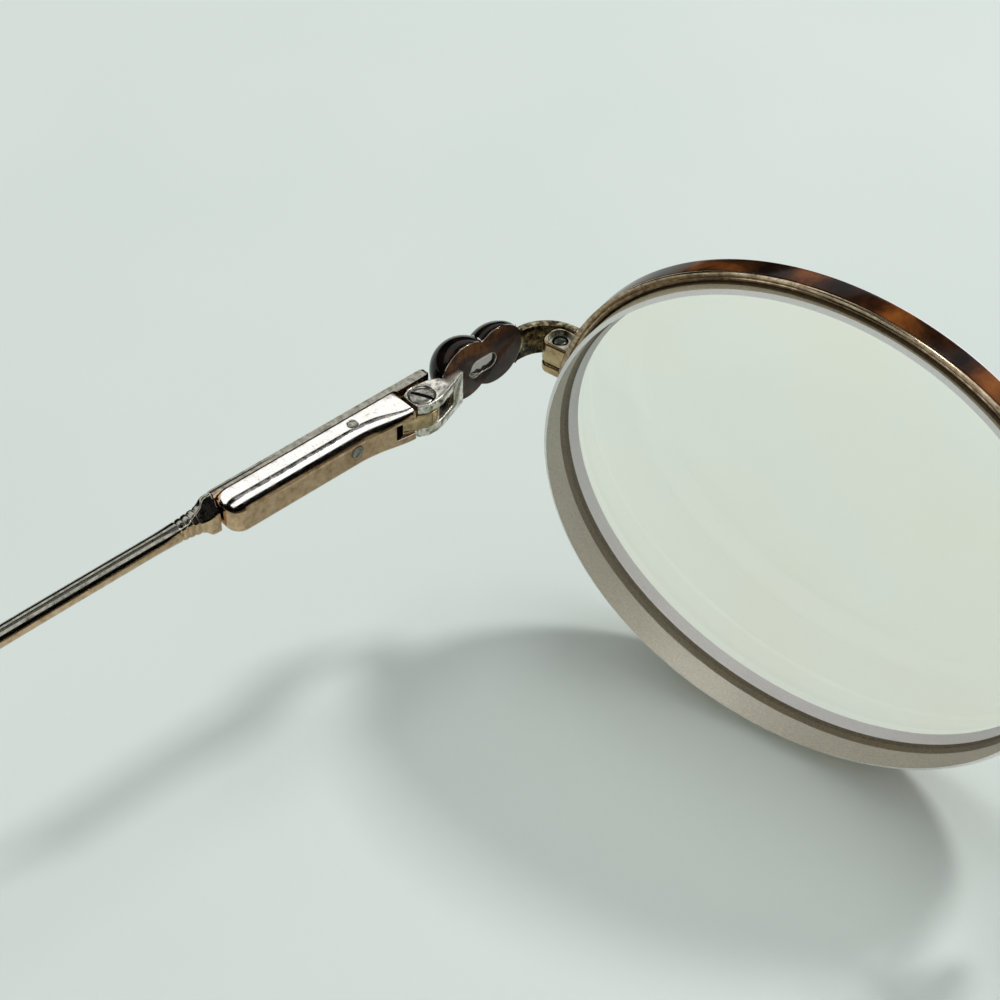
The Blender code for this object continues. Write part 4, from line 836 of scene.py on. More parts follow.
rim_side = Vector((RIM_HALF_WIDTH - 0.0002, BLOCK_FRONT - SEAT_GAP, 0.0))
strap_start = HINGE_FRAME.inverted() @ LENS_FRAME @ rim_side
sweep = WRAP_ANGLE + TEMPLE_SPLAY
strap_turn = 90 - math.degrees(sweep)
strap_outer = LINK_FACE + STRAP_THICKNESS
inner_radius = STRAP_BEND_RADIUS - STRAP_THICKNESS
middle_x = strap_outer - STRAP_BEND_RADIUS
clear = (inner_radius - (strap_start.x - middle_x) * math.sin(sweep)) / math.cos(sweep)
bend_centre = (middle_x, strap_start.y + clear)
outer_arc = arc(bend_centre, STRAP_BEND_RADIUS, 0, -strap_turn, 32)
inner_arc = arc(bend_centre, inner_radius, -strap_turn, 0, 32)
reach = (inner_arc[0][0] - strap_start.x) / math.cos(sweep)
last_outer, last_inner = (
    (x - reach * math.cos(sweep), y - reach * math.sin(sweep)) for x, y in (outer_arc[-1], inner_arc[0])
)
link_end = LINK_FIRST - LINK_PITCH - LINK_RADIUS + 0.0012
strap_outline = [
    (strap_outer, link_end), *outer_arc, last_outer, last_inner, *inner_arc, (LINK_FACE, link_end),
]
lobe_room = rod(LINK_RADIUS + SEAT_GAP, -0.003, 0.003, 96, link_lobe(1))
strap = worked(plate(strap_outline, -STRAP_HEIGHT, 0.0), cuts=[lobe_room], edge=0.00014, segments=4)
dress("strap_bent", strap, HINGE_FRAME, "front", "endpiece_strap", [worn_brass], smooth=50)

# %% Link of two domed lobes
LINK_EDGE = 0.00055
DOME_HEIGHTS = (0.00262, 0.00205)
LINK_SLOT_LENGTH = 0.00260
LINK_SLOT_HEIGHT = 0.00140
LINK_SLOT_Y = LINK_FIRST - LINK_PITCH / 2 - 0.0002
LINK_SLOT_Z = LINK_MIDDLE - 0.0002
LINK_DIMPLE_RADIUS = 0.00055
LINK_DIMPLE_DEPTH = 0.00018
DOME_SIDES = 96
LINK_FINISHES = [dome_enamel, stained_face, polished_edge, slot_wall_finish, screw_steel]
ON_DOME, ON_FLAT, ON_EDGE, ON_SLOT, ON_DIMPLE = range(5)


def dome(number):
    """A lobe; the second is turned by half a side, so that no two points of the lobes fall together."""
    height = DOME_HEIGHTS[number]
    sphere = (LINK_RADIUS**2 + height**2) / (2 * height)
    rise = LINK_EDGE + height - sphere
    turns = [math.asin(LINK_RADIUS / sphere) * i / 24 for i in range(25)]
    profile = [(sphere * math.sin(a), rise + sphere * math.cos(a)) for a in turns]
    depth = -0.0010 - 0.0003 * number
    turn = Matrix.Rotation(number * math.pi / DOME_SIDES, 4, "Z")
    return turned(profile + [(LINK_RADIUS, depth), (0.0, depth)], DOME_SIDES, link_lobe(number) @ turn)


slot_half = (LINK_SLOT_LENGTH - LINK_SLOT_HEIGHT) / 2
slot_radius = LINK_SLOT_HEIGHT / 2
slot_outline = [
    *arc((slot_half, 0.0), slot_radius, -90, 90, 20), *arc((-slot_half, 0.0), slot_radius, 90, 270, 20),
]
slot_upright = Matrix.Translation((LINK_FACE, LINK_SLOT_Y, LINK_SLOT_Z))
slot_across = Matrix(((0, 0, 1, 0), (1, 0, 0, 0), (0, 1, 0, 0), (0, 0, 0, 1)))
slot = moved(plate(slot_outline, -0.002, 0.005), slot_upright @ slot_across)
dimple_place = slot_upright @ Matrix.Translation((0.0, slot_half + 0.0003, -0.0003)) @ slot_across
dimple = rod(LINK_DIMPLE_RADIUS, -0.001, LINK_DIMPLE_DEPTH, 32, dimple_place)
flat = block((-0.004, -0.014, -0.0065), (LINK_FACE, 0.001, 0.0045))
link = worked(dome(0), joins=[dome(1)], cuts=[flat, dimple, slot])
for face in link.polygons:
    spot, level, facing = face.center, face.center.x - LINK_FACE, abs(face.normal.x)
    from_slot = math.hypot(max(abs(spot.y - LINK_SLOT_Y) - slot_half, 0.0), spot.z - LINK_SLOT_Z)
    face.material_index = ON_DOME
    if facing > 0.99 and level < 0.0003:
        face.material_index = ON_FLAT if level < 0.0001 else ON_DIMPLE
    elif facing < 0.05 and from_slot < slot_radius + 0.00002:
        face.material_index = ON_SLOT
for finish in LINK_FINISHES:
    link.materials.append(finish)
link = worked(link, edge=0.00007, segments=2, angle=40, edge_finish=ON_EDGE)
dress("link_cast", link, HINGE_FRAME, "front", "endpiece_link", LINK_FINISHES, smooth=30)

# %% [markdown]
# ## The hinge
# Two leaves on a base plate stand over and under the middle knuckle, and a slotted screw runs through
# all three. The front hinge is one plate with a gap cut across it. The tongue slides in the spring box
# when the temple is pushed outwards.

# %% Leaves, screw and tongue
HINGE_HEIGHT = 0.00320
LEAF_THICKNESS = 0.00088
LEAF_CORNER_RADIUS = 0.00146
LEAF_BACK = 0.00116
LEAF_HALF_WIDTH = 0.00127
HINGE_PLATE = 0.00055
HINGE_PLATE_LENGTH = 0.00185
HINGE_GAP_START = 0.00045
TONGUE_RADIUS = 0.00138
TONGUE_LENGTH = 0.00250
SCREW_HEAD_RADIUS = 0.00105
SCREW_HEAD_DEPTH = 0.00050
SCREW_SHANK_RADIUS = 0.00055
SCREW_SLOT_WIDTH = 0.00030
SCREW_SLOT_DEPTH = 0.00028
SCREW_SLOT_DEGREES = 26
BOX_INNER_FACE = -0.00045
BOX_HEIGHT = 0.00310
CHANNEL_START_X = 0.00010
CHANNEL_END_X = 0.00150
ROD_RADIUS = 0.00030
SHANK_LENGTH = 0.00180
ROD_X = (CHANNEL_START_X + CHANNEL_END_X) / 2
ROD_Z = -BOX_HEIGHT / 2

plate_face = LINK_FACE - SEAT_GAP
plate_inner = plate_face - HINGE_PLATE
plate_rear = LINK_FIRST + LINK_RADIUS + SEAT_GAP
plate_front = plate_rear - HINGE_PLATE_LENGTH
leaf_corner = math.sqrt(LEAF_CORNER_RADIUS**2 - LEAF_BACK**2)
leaf_outline = rounded(
    [
        (plate_face, plate_front, 0.0001), (plate_face, plate_rear, 0.0),
        (plate_face + 0.0002, plate_rear, 0.0), (LEAF_HALF_WIDTH - 0.0002, -LEAF_CORNER_RADIUS, 0.0008),
        (LEAF_HALF_WIDTH, LEAF_BACK - 0.0008, 0.0004), (leaf_corner, LEAF_BACK, 0.0002),
        (0.0, LEAF_BACK + 0.00004, 0.0), (-leaf_corner, LEAF_BACK, 0.0002),
        (-LEAF_HALF_WIDTH, LEAF_BACK - 0.0008, 0.0004), (-LEAF_HALF_WIDTH, -0.0006, 0.0004),
        (-LEAF_HALF_WIDTH + 0.0001, -LEAF_BACK, 0.0008), (plate_inner, plate_front, 0.0001),
    ],
    5,
)
tongue_gap = block(
    (-0.004, plate_rear - HINGE_GAP_START, -HINGE_HEIGHT + LEAF_THICKNESS), (0.004, 0.004, -LEAF_THICKNESS)
)
screw_room = SCREW_SHANK_RADIUS + RUNNING_CLEARANCE
hinge_bore = turned(
    [
        (0.0, 0.001), (SCREW_HEAD_RADIUS + RUNNING_CLEARANCE, 0.001),
        (SCREW_HEAD_RADIUS + RUNNING_CLEARANCE, -0.0001), (screw_room, -SCREW_HEAD_DEPTH),
        (screw_room, -HINGE_HEIGHT - 0.001), (0.0, -HINGE_HEIGHT - 0.001),
    ],
    64,
)
leaves = worked(plate(leaf_outline, -HINGE_HEIGHT, 0.0), cuts=[tongue_gap, hinge_bore], edge=0.00006)
dress(
    "hinge_leaves", leaves, HINGE_FRAME, "front", "front_hinge", [nickel_silver],
    smooth=50,
)

screw_head = turned(
    [
        (0.0, -0.00001), (SCREW_HEAD_RADIUS * 0.6, -0.00003), (SCREW_HEAD_RADIUS * 0.86, -0.00007),
        (SCREW_HEAD_RADIUS * 0.93, -0.00011), (SCREW_HEAD_RADIUS, -0.00022),
        (SCREW_SHANK_RADIUS, -SCREW_HEAD_DEPTH), (SCREW_SHANK_RADIUS, -HINGE_HEIGHT + 0.00005),
        (0.0, -HINGE_HEIGHT + 0.00005),
    ],
    64,
)
slot_reach, half_slot = SCREW_HEAD_RADIUS + 0.001, SCREW_SLOT_WIDTH / 2
slot_turn = rotated(SCREW_SLOT_DEGREES, "Z")
screw_slot = block((-slot_reach, -half_slot, -SCREW_SLOT_DEPTH), (slot_reach, half_slot, 0.001))
screw_slot = moved(screw_slot, slot_turn)
hinge_screw = worked(screw_head, cuts=[screw_slot], edge=0.00003, segments=2, angle=50)
# The slot floor and the head's rim in its countersink get grime with painted shade, near black.
for face in hinge_screw.polygons:
    in_slot = abs(face.center @ slot_turn.col[1].to_3d()) < half_slot + 0.00001
    face.material_index = 1 if face.center.z < (-0.00006 if in_slot else -0.00012) else 0
dress(
    "hinge_screw_turned", hinge_screw, HINGE_FRAME, "front", "hinge_screw",
    [screw_steel, slot_grime_and_shade],
)

tongue_low = -HINGE_HEIGHT + LEAF_THICKNESS + RUNNING_CLEARANCE
tongue_high = -LEAF_THICKNESS - RUNNING_CLEARANCE
tongue_outline = [
    *arc((0.0, 0.0), TONGUE_RADIUS, 160, 360, 48), (TONGUE_RADIUS, TONGUE_LENGTH),
    (BOX_INNER_FACE - 0.0002, TONGUE_LENGTH),
]
shank_wide = ROD_RADIUS + 0.00014
shank = block(
    (ROD_X - shank_wide, TONGUE_LENGTH - 0.0005, ROD_Z - shank_wide),
    (ROD_X + shank_wide, TONGUE_LENGTH + SHANK_LENGTH, ROD_Z + shank_wide),
)
tongue_bore = rod(screw_room, -0.004, 0.001, 48)
along_temple = Matrix.Translation((ROD_X, TONGUE_LENGTH, ROD_Z)) @ rotated(-90, "X")
rod_seat = rod(ROD_RADIUS + SEAT_GAP, 0.0008, 0.004, 32, along_temple)
tongue_body = plate(tongue_outline, tongue_low, tongue_high)
tongue = worked(tongue_body, joins=[shank], cuts=[tongue_bore, rod_seat], edge=0.00005, segments=2)
dress("tongue_milled", tongue, HINGE_FRAME, "knuckle", "hinge_tongue", [smooth_brass], smooth=50)

# %% [markdown]
# ## The spring box
# A small closed box runs along the temple behind the hinge. It flares round the knuckle and its tail is
# rounded off like a pebble. Its outline changes along its length, so it is skinned over sections, then
# its channel and its mouth are cut.

# %% Spring box with its rivet and stud
BOX_START = LEAF_CORNER_RADIUS + RUNNING_CLEARANCE
BOX_MOUTH = 0.00330
BOX_END = 0.01890
BOX_TAIL = 0.0014
BOX_OUTER_FACE = 0.00174
BOX_ROUND = 0.00120
BOX_LOWER_ROUND = 0.00050
BOX_FLARE = 0.00065
BOX_FLARE_LENGTH = 0.0033
CHANNEL_HEIGHT = 0.00185
CHANNEL_END = 0.01680
STOP_START = 0.00540
STOP_LENGTH = 0.00240
RIVET_RADIUS = 0.00040
RIVET_X = 0.00095
STUD_RADIUS = 0.00052


def smooth_step(value, low, high):
    t = min(1.0, max(0.0, (value - low) / (high - low)))
    return t * t * (3 - 2 * t)


def box_ring(along):
    """Section of the box at a distance behind the hinge."""
    flare = BOX_FLARE * (1 - smooth_step(along, BOX_MOUTH - 0.0022, BOX_MOUTH + BOX_FLARE_LENGTH))
    tail = max(0.0, (along - (BOX_END - BOX_TAIL)) / BOX_TAIL)
    pull = 1 - math.sqrt(max(0.0, 1 - tail * tail))
    share = (0.5 + 0.5 * smooth_step(along, BOX_START, BOX_MOUTH + 0.0015)) * (1 - 0.55 * pull)
    inner = BOX_INNER_FACE - flare + 0.00105 * pull
    top = -0.00085 * pull
    bottom = -BOX_HEIGHT + 0.00085 * pull
    large, small = BOX_ROUND * share, BOX_LOWER_ROUND * share
    upper = arc((inner + large, top - large), large, 90, 180, 20)
    lower = arc((inner + small, bottom + small), small, 180, 270, 10)
    section = [(BOX_OUTER_FACE, top), *upper, *lower, (BOX_OUTER_FACE, bottom)]
    return [Vector((x, along, z)) for x, z in section]


def pin(radius, low, high, place, dome_height):
    """A pin with a slightly domed end."""
    shares = ((1.0, 1.0), (0.8, 0.3), (0.4, 0.05))
    domed = [(share * radius, high - drop * dome_height) for share, drop in shares]
    return turned([(0.0, low), (radius, low), *domed, (0.0, high)], 40, place)


stations = [BOX_START + (BOX_END - BOX_TAIL - BOX_START) * i / 46 for i in range(47)]
stations += [BOX_END - BOX_TAIL + BOX_TAIL * math.sin(math.radians(90 * i / 12)) for i in range(1, 13)]
half_channel = CHANNEL_HEIGHT / 2
channel = block(
    (CHANNEL_START_X, BOX_START - 0.002, ROD_Z - half_channel),
    (CHANNEL_END_X, CHANNEL_END, ROD_Z + half_channel),
)
mouth = block(
    (-0.004, BOX_START - 0.002, tongue_low - RUNNING_CLEARANCE),
    (0.004, BOX_MOUTH, tongue_high + RUNNING_CLEARANCE),
)
stop_middle = STOP_START + STOP_LENGTH / 2
stud_length = ROD_X - ROD_RADIUS - RUNNING_CLEARANCE - 0.0002 - BOX_INNER_FACE
rivet_low = ROD_Z + half_channel - SEAT_GAP - 0.0002
rivet_place = Matrix.Translation((RIVET_X, stop_middle - 0.0004, 0.0))
stud_place = Matrix.Translation((BOX_INNER_FACE, stop_middle + 0.0003, ROD_Z)) @ rotated(90, "Y")
rivet_hole = rod(RIVET_RADIUS + SEAT_GAP, rivet_low - SEAT_GAP, 0.0003, 40, rivet_place)
stud_hole = rod(STUD_RADIUS + SEAT_GAP, -0.0003, stud_length + SEAT_GAP, 40, stud_place)
box_body = skin([box_ring(s) for s in stations])
box = worked(box_body, cuts=[channel, mouth, rivet_hole, stud_hole], edge=0.00005, angle=40)
dress("spring_box_plated", box, HINGE_FRAME, "temple", "spring_box", [box_plate_painted_top], smooth=40)
rivet = pin(RIVET_RADIUS, rivet_low, 0.00003, rivet_place, 0.00003)
dress("stop_rivet_peened", rivet, HINGE_FRAME, "temple", "stop_rivet", [screw_steel])
stud = pin(STUD_RADIUS, -stud_length, 0.00006, stud_place @ rotated(180, "X"), 0.00005)
dress("stop_stud_pressed", stud, HINGE_FRAME, "temple", "stop_stud", [screw_steel])

# %% [markdown]
# ## The temple
# A flat bar outside the box is drawn down behind it to round wire. The wire runs straight back, bows
# inwards a little and bends down behind the ear, where an acetate sleeve covers it. The neck behind the
# box carries the marks of the press that flattened it.

# %% Bar, neck and wire
BAR_INNER = BOX_OUTER_FACE + SEAT_GAP
BAR_OUTER = BAR_INNER + 0.00068
TAB_START = -0.00220
NECK_START, NECK_END = 0.00014, 0.0059
NECK_STEPS = 90
RIDGE_START, RIDGE_END = 0.0016, 0.0038
RIDGE_PITCH, RIDGE_DEPTH = 0.00055, 0.00008
WIRE_RADIUS = 0.00076
WIRE_X = 0.00180
WIRE_STEPS = 60
TEMPLE_SIDES = 48
TEMPLE_LENGTH = 0.1400
EAR_BEND_RADIUS = 0.032
EAR_BEND_ANGLE = math.radians(40)
TEMPLE_BOW = 0.0080
TIP_LENGTH = 0.058
TIP_HALF_HEIGHT = 0.0027
TIP_HALF_WIDTH = 0.0014
TIP_MOUTH_RADIUS = 0.00125
TIP_SIDES = 12
TIP_CAP = 0.0026
TIP_SHOULDER = 0.0018
TIP_SHOULDER_FILL = 0.80

# The solid tip has few sides; the bend starts where its lowest corner just reaches the floor.
tip_low_edge = TIP_SHOULDER_FILL * TIP_HALF_HEIGHT * math.cos(math.pi / TIP_SIDES)
tip_rest = tip_low_edge * math.cos(EAR_BEND_ANGLE) - (TIP_CAP - TIP_SHOULDER) * math.sin(EAR_BEND_ANGLE)
ear_drop = RIM_HALF_HEIGHT + HINGE_RISE + ROD_Z - tip_rest
bend_drop = EAR_BEND_RADIUS * (1 - math.cos(EAR_BEND_ANGLE))
straight_end = (ear_drop - bend_drop) / math.sin(EAR_BEND_ANGLE)
bend_length = EAR_BEND_RADIUS * EAR_BEND_ANGLE
bend_start = TEMPLE_LENGTH - bend_length - straight_end


def temple_line(length):
    """Centre line of the temple: distance behind the hinge, height and angle."""
    beyond = length - bend_start
    if beyond <= 0:
        return length, ROD_Z, 0.0
    angle = min(beyond / EAR_BEND_RADIUS, EAR_BEND_ANGLE)
    rest = max(0.0, beyond - bend_length)
    along = bend_start + EAR_BEND_RADIUS * math.sin(angle) + rest * math.cos(angle)
    height = ROD_Z - EAR_BEND_RADIUS * (1 - math.cos(angle)) - rest * math.sin(angle)
    return along, height, angle


def temple_ring(length, half_width, half_height, squareness=0.0, x=WIRE_X):
    """Ring square to the temple's line, between round and square."""
    along, height, angle = temple_line(length)
    bow = -TEMPLE_BOW * (max(0.0, along - BOX_END) / TEMPLE_LENGTH) ** 2
    points = []
    for i in range(TEMPLE_SIDES):
        turn = math.tau * (i + 0.5) / TEMPLE_SIDES
        c, s = math.cos(turn), math.sin(turn)
        fill = 1 + squareness * (1 / max(abs(c), abs(s)) - 1)
        across, up = half_width * c * fill, half_height * s * fill
        points.append(Vector((x + bow + across, along + up * math.sin(angle), height + up * math.cos(angle))))
    return points


def through(rows, along):
    """Values at a place on a smooth line through rows of (place, values)."""
    last = len(rows) - 1
    i = max(k for k in range(last) if rows[k][0] <= along or k == 0)
    t = min(1.0, max(0.0, (along - rows[i][0]) / (rows[i + 1][0] - rows[i][0])))
    values = []
    for k in range(1, len(rows[0])):
        a, b = rows[i][k], rows[i + 1][k]
        before, after = rows[max(i - 1, 0)], rows[min(i + 2, last)]
        span = rows[i + 1][0] - rows[i][0]
        into = span * (b - before[k]) / (rows[i + 1][0] - before[0])
        out_of = span * (after[k] - a) / (after[0] - rows[i][0])
        values.append(
            (2 * t**3 - 3 * t**2 + 1) * a + (t**3 - 2 * t**2 + t) * into
            + (3 * t**2 - 2 * t**3) * b + (t**3 - t**2) * out_of
        )
    return values


# Each ring: distance behind the hinge, middle, half width, half height, squareness and cut of the
# upper inner edge. The tab in front of the box is thicker, because it fills the box's width too.
bar_rings = []
tab_reaches = (0.0, 0.00006, 0.00015, 0.00028, 0.0004, 0.002, 0.00332, 0.00342, 0.00352, 0.00362)
for reach in (*tab_reaches, 0.006, 0.012, BOX_END + SEAT_GAP - TAB_START):
    left = 1 - smooth_step(reach, 0.0, 0.0004)
    beside_box = smooth_step(TAB_START + reach, BOX_START - 0.0004, BOX_START - 0.0001)
    inner = BOX_START + (BAR_INNER - BOX_START) * beside_box + 0.00022 * left
    half = (BAR_OUTER - 0.00012 * left - inner) / 2
    bar_rings.append((TAB_START + reach, inner + half, half, BOX_HEIGHT / 2 - 0.0001 * left, 0.99, 0.0))
# The neck, with its distances from the end of the box.
neck_rows = [
    (NECK_START, 0.00168, 0.00078, 0.00153, 0.97, 0.00115),
    (0.0009, 0.00168, 0.00078, 0.00144, 0.95, 0.00115),
    (0.0014, 0.00172, 0.00074, 0.00102, 0.80, 0.00080),
    (0.0021, 0.00176, 0.00070, 0.00088, 0.70, 0.00050),
    (0.0034, WIRE_X, 0.00072, 0.00078, 0.35, 0.00010),
    (0.0046, WIRE_X, WIRE_RADIUS, WIRE_RADIUS, 0.10, 0.0),
    (0.0058, WIRE_X, WIRE_RADIUS, WIRE_RADIUS, 0.0, 0.0),
    (0.0070, WIRE_X, WIRE_RADIUS, WIRE_RADIUS, 0.0, 0.0),
]
for i in range(NECK_STEPS + 1):
    along = NECK_START + (NECK_END - NECK_START) * i / NECK_STEPS
    middle, half, height, square, cut = through(neck_rows, along)
    # The press leaves four ridges across the neck.
    pressed = 0.0
    if RIDGE_START < along < RIDGE_END:
        pressed = RIDGE_DEPTH * max(0.0, math.sin(math.tau * (along - RIDGE_START) / RIDGE_PITCH))
    bar_rings.append((BOX_END + along, middle, half - pressed * 0.5, height - pressed, square, cut))
neck_end = BOX_END + NECK_END
core_end = TEMPLE_LENGTH - 0.004
for i in range(1, WIRE_STEPS + 1):
    along = neck_end + (core_end - neck_end) * i / WIRE_STEPS
    bar_rings.append((along, WIRE_X, WIRE_RADIUS, WIRE_RADIUS, 0.0, 0.0))
rings = []
for along, middle, half, height, square, cut in bar_rings:
    ring = temple_ring(along, half, height, square, middle)
    for point in ring:
        over = cut - (point.x - (middle - half)) - (ROD_Z + height - point.z)
        if cut > 0 and over > 0:
            point.x += over / 2
            point.z -= over / 2
    rings.append(ring)
dress(
    "temple_drawn", skin(rings), HINGE_FRAME, "temple", "temple_bar", [temple_plate_painted_top],
    smooth=45,
)

# %% Acetate tip
tip_start = TEMPLE_LENGTH - TIP_LENGTH
bore = WIRE_RADIUS + SEAT_GAP * 2
rings = [temple_ring(core_end + 0.0002 - (core_end - tip_start) * i / 30, bore, bore) for i in range(30)]
rings.append(temple_ring(tip_start, bore, bore))
swell = TIP_LENGTH - TIP_CAP
# Along the sleeve: distance from its mouth, fill of the section, and how far it has swelled.
tip_shape = [(0.0, 0.90, 0.0), (0.00012, 0.96, 0.0), (0.0003, 1.0, 0.0)]
tip_shape += [(swell * i / 24, 1.0, smooth_step(i / 24, 0.12, 0.98)) for i in range(1, 25)]
for degrees in (15, 30, 45, 60, 72, 82, 88):
    turn = math.radians(degrees)
    tip_shape.append((swell + TIP_CAP * math.sin(turn), math.cos(turn) ** 0.7, 1.0))
for along, fill, grown in tip_shape:
    half_height = TIP_MOUTH_RADIUS + (TIP_HALF_HEIGHT - TIP_MOUTH_RADIUS) * grown
    half_width = TIP_MOUTH_RADIUS + (TIP_HALF_WIDTH - TIP_MOUTH_RADIUS) * grown
    rings.append(temple_ring(tip_start + along, half_width * fill, half_height * fill))
dress(
    "tip_acetate", skin(rings), HINGE_FRAME, "temple", "temple_tip", [tortoise],
    smooth=45,
)

# %% [markdown]
# ## Bridge and pads
# The bridge is a round wire that arches from rim to rim. Each pad hangs on a thinner wire with a small
# box at its end, and rocks on a screw through that box. None of them is in the photograph, so they
# follow what such glasses usually have.

# %% Bridge
BRIDGE_RADIUS = 0.00095
BRIDGE_RISE = 0.0030
BRIDGE_REACH = 0.0016
bridge_depth = RIM_DEPTH / 2
foot = LENS_FRAME @ rim_point(WALL_RADIUS - 0.0004, bridge_depth, BRIDGE_ANGLE)
out = LENS_FRAME @ rim_point(WALL_RADIUS + 0.0045, bridge_depth + 0.0004, BRIDGE_ANGLE)
crown = Vector((0.0, foot.y - BRIDGE_REACH, foot.z + BRIDGE_RISE))
half_line = curve_points((foot, out, Vector((out.x * 0.45, crown.y, crown.z)), crown), 40)
bridge_line = half_line + [Vector((-p.x, p.y, p.z)) for p in reversed(half_line[:-1])]
left_room, right_room = (rim_room(BRIDGE_ANGLE - 0.2, BRIDGE_ANGLE + 0.2) for side in range(2))
rooms = [moved(left_room, LENS_FRAME), facing_out(moved(right_room, MIRROR @ LENS_FRAME))]
bridge = finished(worked(along_line(bridge_line, BRIDGE_RADIUS, 40), cuts=rooms), [rose_gold], 45)
hand_over("bridge_wire", bridge, "front", "bridge")
print("bridge_wire:", len(bridge.polygons), "faces")

# %% Pad arm, pad box, pad screw and pad
ARM_RADIUS = 0.00045
ARM_ANGLE = math.radians(184)
PAD_HALF_HEIGHT = 0.0066
PAD_HALF_WIDTH = 0.0036
PAD_THICKNESS = 0.0023
PAD_BACK_SHARE, PAD_FRONT_SHARE = 0.62, 0.38
PAD_ROWS, PAD_AROUND = 28, 48
PAD_BOX_HEIGHT = 0.0024
PAD_BOX_WIDTH = 0.0023
PAD_BOX_DEPTH = 0.0018
PAD_BOX_WALL = 0.00050
PAD_PIN_RADIUS = 0.00038
PAD_BOX_FRONT = 0.0002

to_lens = LENS_FRAME.inverted() @ PAD_FRAME
arm_start = rim_point(RIM_HALF_WIDTH - 0.0002, -SEAT_GAP, ARM_ANGLE)
arm_end = to_lens @ Vector((PAD_BOX_DEPTH + PAD_BOX_FRONT + SEAT_GAP, 0.0, 0.0))
arm_lead = to_lens @ Vector((PAD_BOX_DEPTH + 0.0016, 0.0, 0.0))
arm_bow = arm_start + Vector((-0.0010, 0.0034, 0.0))
arm = along_line(curve_points((arm_start, arm_bow, arm_lead, arm_end), 48), ARM_RADIUS, 24)
dress("pad_arm_wire", arm, LENS_FRAME, "front", "pad_arm", [rose_gold])

half_width, half_height = PAD_BOX_WIDTH / 2, PAD_BOX_HEIGHT / 2
pad_gap = half_width - PAD_BOX_WALL
pad_floor = PAD_BOX_FRONT + PAD_BOX_DEPTH - PAD_BOX_WALL
pad_axis = PAD_BOX_FRONT + (PAD_BOX_DEPTH - PAD_BOX_WALL) / 2
across = Matrix.Translation((pad_axis, 0.0, 0.0)) @ rotated(90, "X")
slot_cut = block(
    (PAD_BOX_FRONT - 0.001, -pad_gap, -half_height - 0.001), (pad_floor, pad_gap, half_height + 0.001)
)
pin_room = rod(PAD_PIN_RADIUS + SEAT_GAP, -half_width - 0.001, half_width + 0.001, 40, across)
box_body = block(
    (PAD_BOX_FRONT, -half_width, -half_height), (PAD_BOX_FRONT + PAD_BOX_DEPTH, half_width, half_height)
)
pad_box = worked(box_body, cuts=[slot_cut, pin_room], edge=0.00012)
dress("pad_box_cast", pad_box, PAD_FRAME, "front", "pad_box", [rose_gold], smooth=50)
head, pin_end = half_width + SEAT_GAP, -half_width - 0.0001
pad_screw = turned(
    [
        (0.0, head + 0.0003), (0.0005, head + 0.0003), (0.00058, head + 0.00022), (0.00062, head + 0.0001),
        (0.00062, head), (PAD_PIN_RADIUS, head), (PAD_PIN_RADIUS, pin_end), (0.0, pin_end),
    ],
    40, across,
)
dress("pad_screw_turned", pad_screw, PAD_FRAME, "front", "pad_screw", [screw_steel])

pad_rings = []
for row in range(PAD_ROWS + 1):
    fall = math.pi * row / PAD_ROWS
    z, wide = math.cos(fall), max(math.sin(fall), 1e-4)
    ring = []
    for i in range(PAD_AROUND):
        turn = math.tau * i / PAD_AROUND
        x, y = wide * math.cos(turn), wide * math.sin(turn)
        thick = PAD_THICKNESS * (PAD_BACK_SHARE if x < 0 else PAD_FRONT_SHARE)
        level = x * thick - 0.0003 - PAD_THICKNESS * PAD_FRONT_SHARE
        ring.append(Vector((level, y * PAD_HALF_WIDTH * (1 - 0.14 * z), z * PAD_HALF_HEIGHT)))
    pad_rings.append(ring)
lug_half = pad_gap - 2 * SEAT_GAP
lug = block((-0.0012, -lug_half, -0.00075), (pad_floor - 0.00022, lug_half, 0.00075))
lug_bore = rod(PAD_PIN_RADIUS + RUNNING_CLEARANCE, -half_width - 0.001, half_width + 0.001, 40, across)
pad = worked(skin(pad_rings), joins=[lug], cuts=[lug_bore])
dress("pad_moulded", pad, PAD_FRAME, "pad", "nose_pad", [pad_silicone])

# %% [markdown]
# ## What the spring box hides
# The rod, nut, stop and coil spring stay as the frame's own solids, because nothing of them shows while
# the temple is whole. They still get the finish of the real parts.

# %% Finish the hidden parts
for name, node in nodes.items():
    if name.partition("_")[2] in ("coil_spring", "spring_rod", "rod_nut", "spring_stop"):
        node.data.materials.clear()
        node.data.materials.append(spring_wire)
print("kept solids:", [n for n in nodes if not nodes[n].hide_render][:12])

# %% [markdown]
# ## Floor and light
# The glasses stand on a pale cool white sheet. One soft light in front gives the shadow, and a broader
# one overhead fills it. Polished metal shows what stands round it, so long black and white cards, which
# only reflections see, give it the dark and bright lines that it has in a room.

# %% Floor
FLOOR_REACH = 3
# The board's faint blotches are 60 mm wide. It is matt, so it shows no reflection.
floor_finish = clouded(
    "matt_white_board", 16.0, 2.0, [(0.3, "#DBE4DF"), (0.7, "#E0E8E3")],
    {"Roughness": 0.9, "Specular IOR Level": 0.0}, on_solid=True,
)


def sheet(name, points, faces, finish):
    """A flat or bent sheet that belongs to the stage."""
    mesh = bpy.data.meshes.new(name)
    mesh.from_pydata(points, [], faces)
    mesh.materials.append(finish)
    obj = new_object(name, mesh)
    return obj


floor_corners = [(x * FLOOR_REACH, y * FLOOR_REACH, 0) for x, y in ((-1, -1), (1, -1), (1, 1), (-1, 1))]
sheet("white_board", floor_corners, [(0, 1, 2, 3)], floor_finish)

# %% Lights, cards and world
KEY_WAY = Vector((-0.10, -0.55, 0.83))
CARD_START, CARD_END = -1.2, 0.6
CARD_STEPS = 24
CARD_LOW = 0.0005


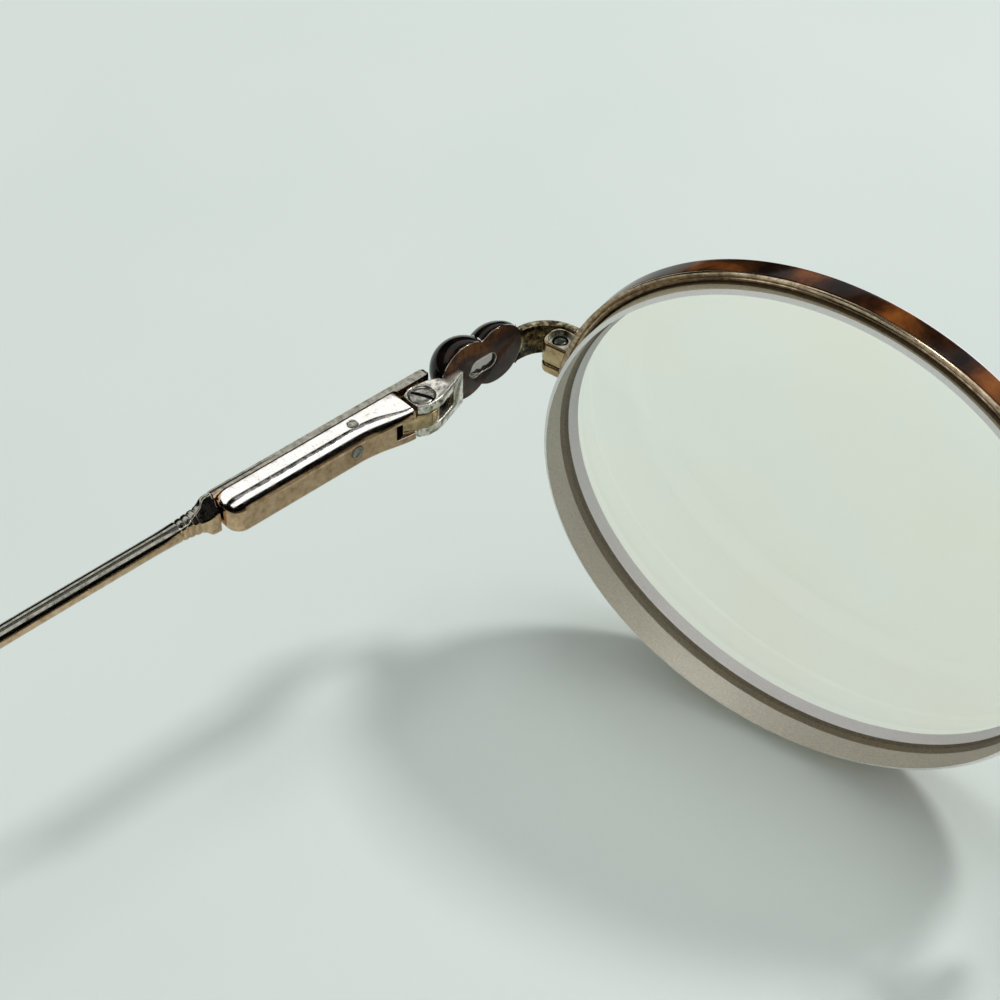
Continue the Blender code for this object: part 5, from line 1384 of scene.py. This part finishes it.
def soft_light(name, place, aim, size, power):
    light = bpy.data.lights.new(name, "AREA")
    light.shape = "RECTANGLE"
    light.size, light.size_y = size
    light.energy = power
    light.color = (1.0, 1.0, 1.0)
    obj = new_object(name, light)
    obj.location = place
    obj.rotation_euler = (Vector(place) - Vector(aim)).to_track_quat("Z", "Y").to_euler()


def reflected_card(name, points, faces, glow=0.0):
    """A card that only reflections see, black or glowing white."""
    values = {"Base Color": linear("#050505"), "Specular IOR Level": 0.0}
    values |= {"Emission Color": linear("#FFFFFF"), "Emission Strength": glow}
    card = sheet(name, points, faces, new_finish(name, values))
    card.visible_camera = False
    card.visible_diffuse = False
    card.visible_shadow = False
    card.visible_transmission = False


def bent_card(name, turns, radius, glow):
    """A long card bent about a line along the temple, between two angles from straight up."""
    points = []
    for i in range(CARD_STEPS + 1):
        turn = math.radians(turns[0] + (turns[1] - turns[0]) * i / CARD_STEPS)
        for y in (CARD_START, CARD_END):
            spot = hinge_spot + Vector((radius * math.sin(turn), y, radius * math.cos(turn)))
            points.append((spot.x, spot.y, max(spot.z, CARD_LOW)))
    reflected_card(name, points, [(2 * i, 2 * i + 1, 2 * i + 3, 2 * i + 2) for i in range(CARD_STEPS)], glow)


soft_light("front_softbox", lens_middle + 0.9 * KEY_WAY, lens_middle, (0.12, 0.12), 3.0)
soft_light("overhead_softbox", lens_middle + Vector((0.10, -0.16, 0.90)), lens_middle, (0.30, 0.30), 1.5)
# Seen from the temple, 0 degrees is straight up and 90 is level on the outer side.
for name, turns, radius, glow in (
    ("black_card_outer", (56, 91), 0.60, 0.0), ("black_card_inner", (-42, -91), 0.60, 0.0),
    ("black_card_strip", (29, -8), 0.60, 0.0), ("white_card_outer", (29, 56), 0.62, 1.15),
    ("white_card_inner", (-8, -42), 0.62, 1.15),
):
    bent_card(name, turns, radius, glow)
# One card stands across the far end, and one lies beside the lens.
end_y = hinge_spot.y + CARD_END
end_points = [(x, end_y, z) for x, z in ((-1.1, CARD_LOW), (1.3, CARD_LOW), (1.3, 1.6), (-1.1, 1.6))]
reflected_card("black_card_end", end_points, [(0, 1, 2, 3)])
low_corners = ((-0.6, CARD_START), (-0.12, CARD_START), (-0.12, CARD_END), (-0.6, CARD_END))
low_points = [(hinge_spot.x + x, hinge_spot.y + y, 0.0006) for x, y in low_corners]
reflected_card("black_card_low", low_points, [(0, 1, 2, 3)])

world = bpy.data.worlds.new("pale_room")
bpy.context.scene.world = world
world.use_nodes = True
world.node_tree.nodes["Background"].inputs["Color"].default_value = linear("#F4F7F7")
world.node_tree.nodes["Background"].inputs["Strength"].default_value = 0.50
bpy.context.scene.view_settings.view_transform = "Standard"
print("lights made")
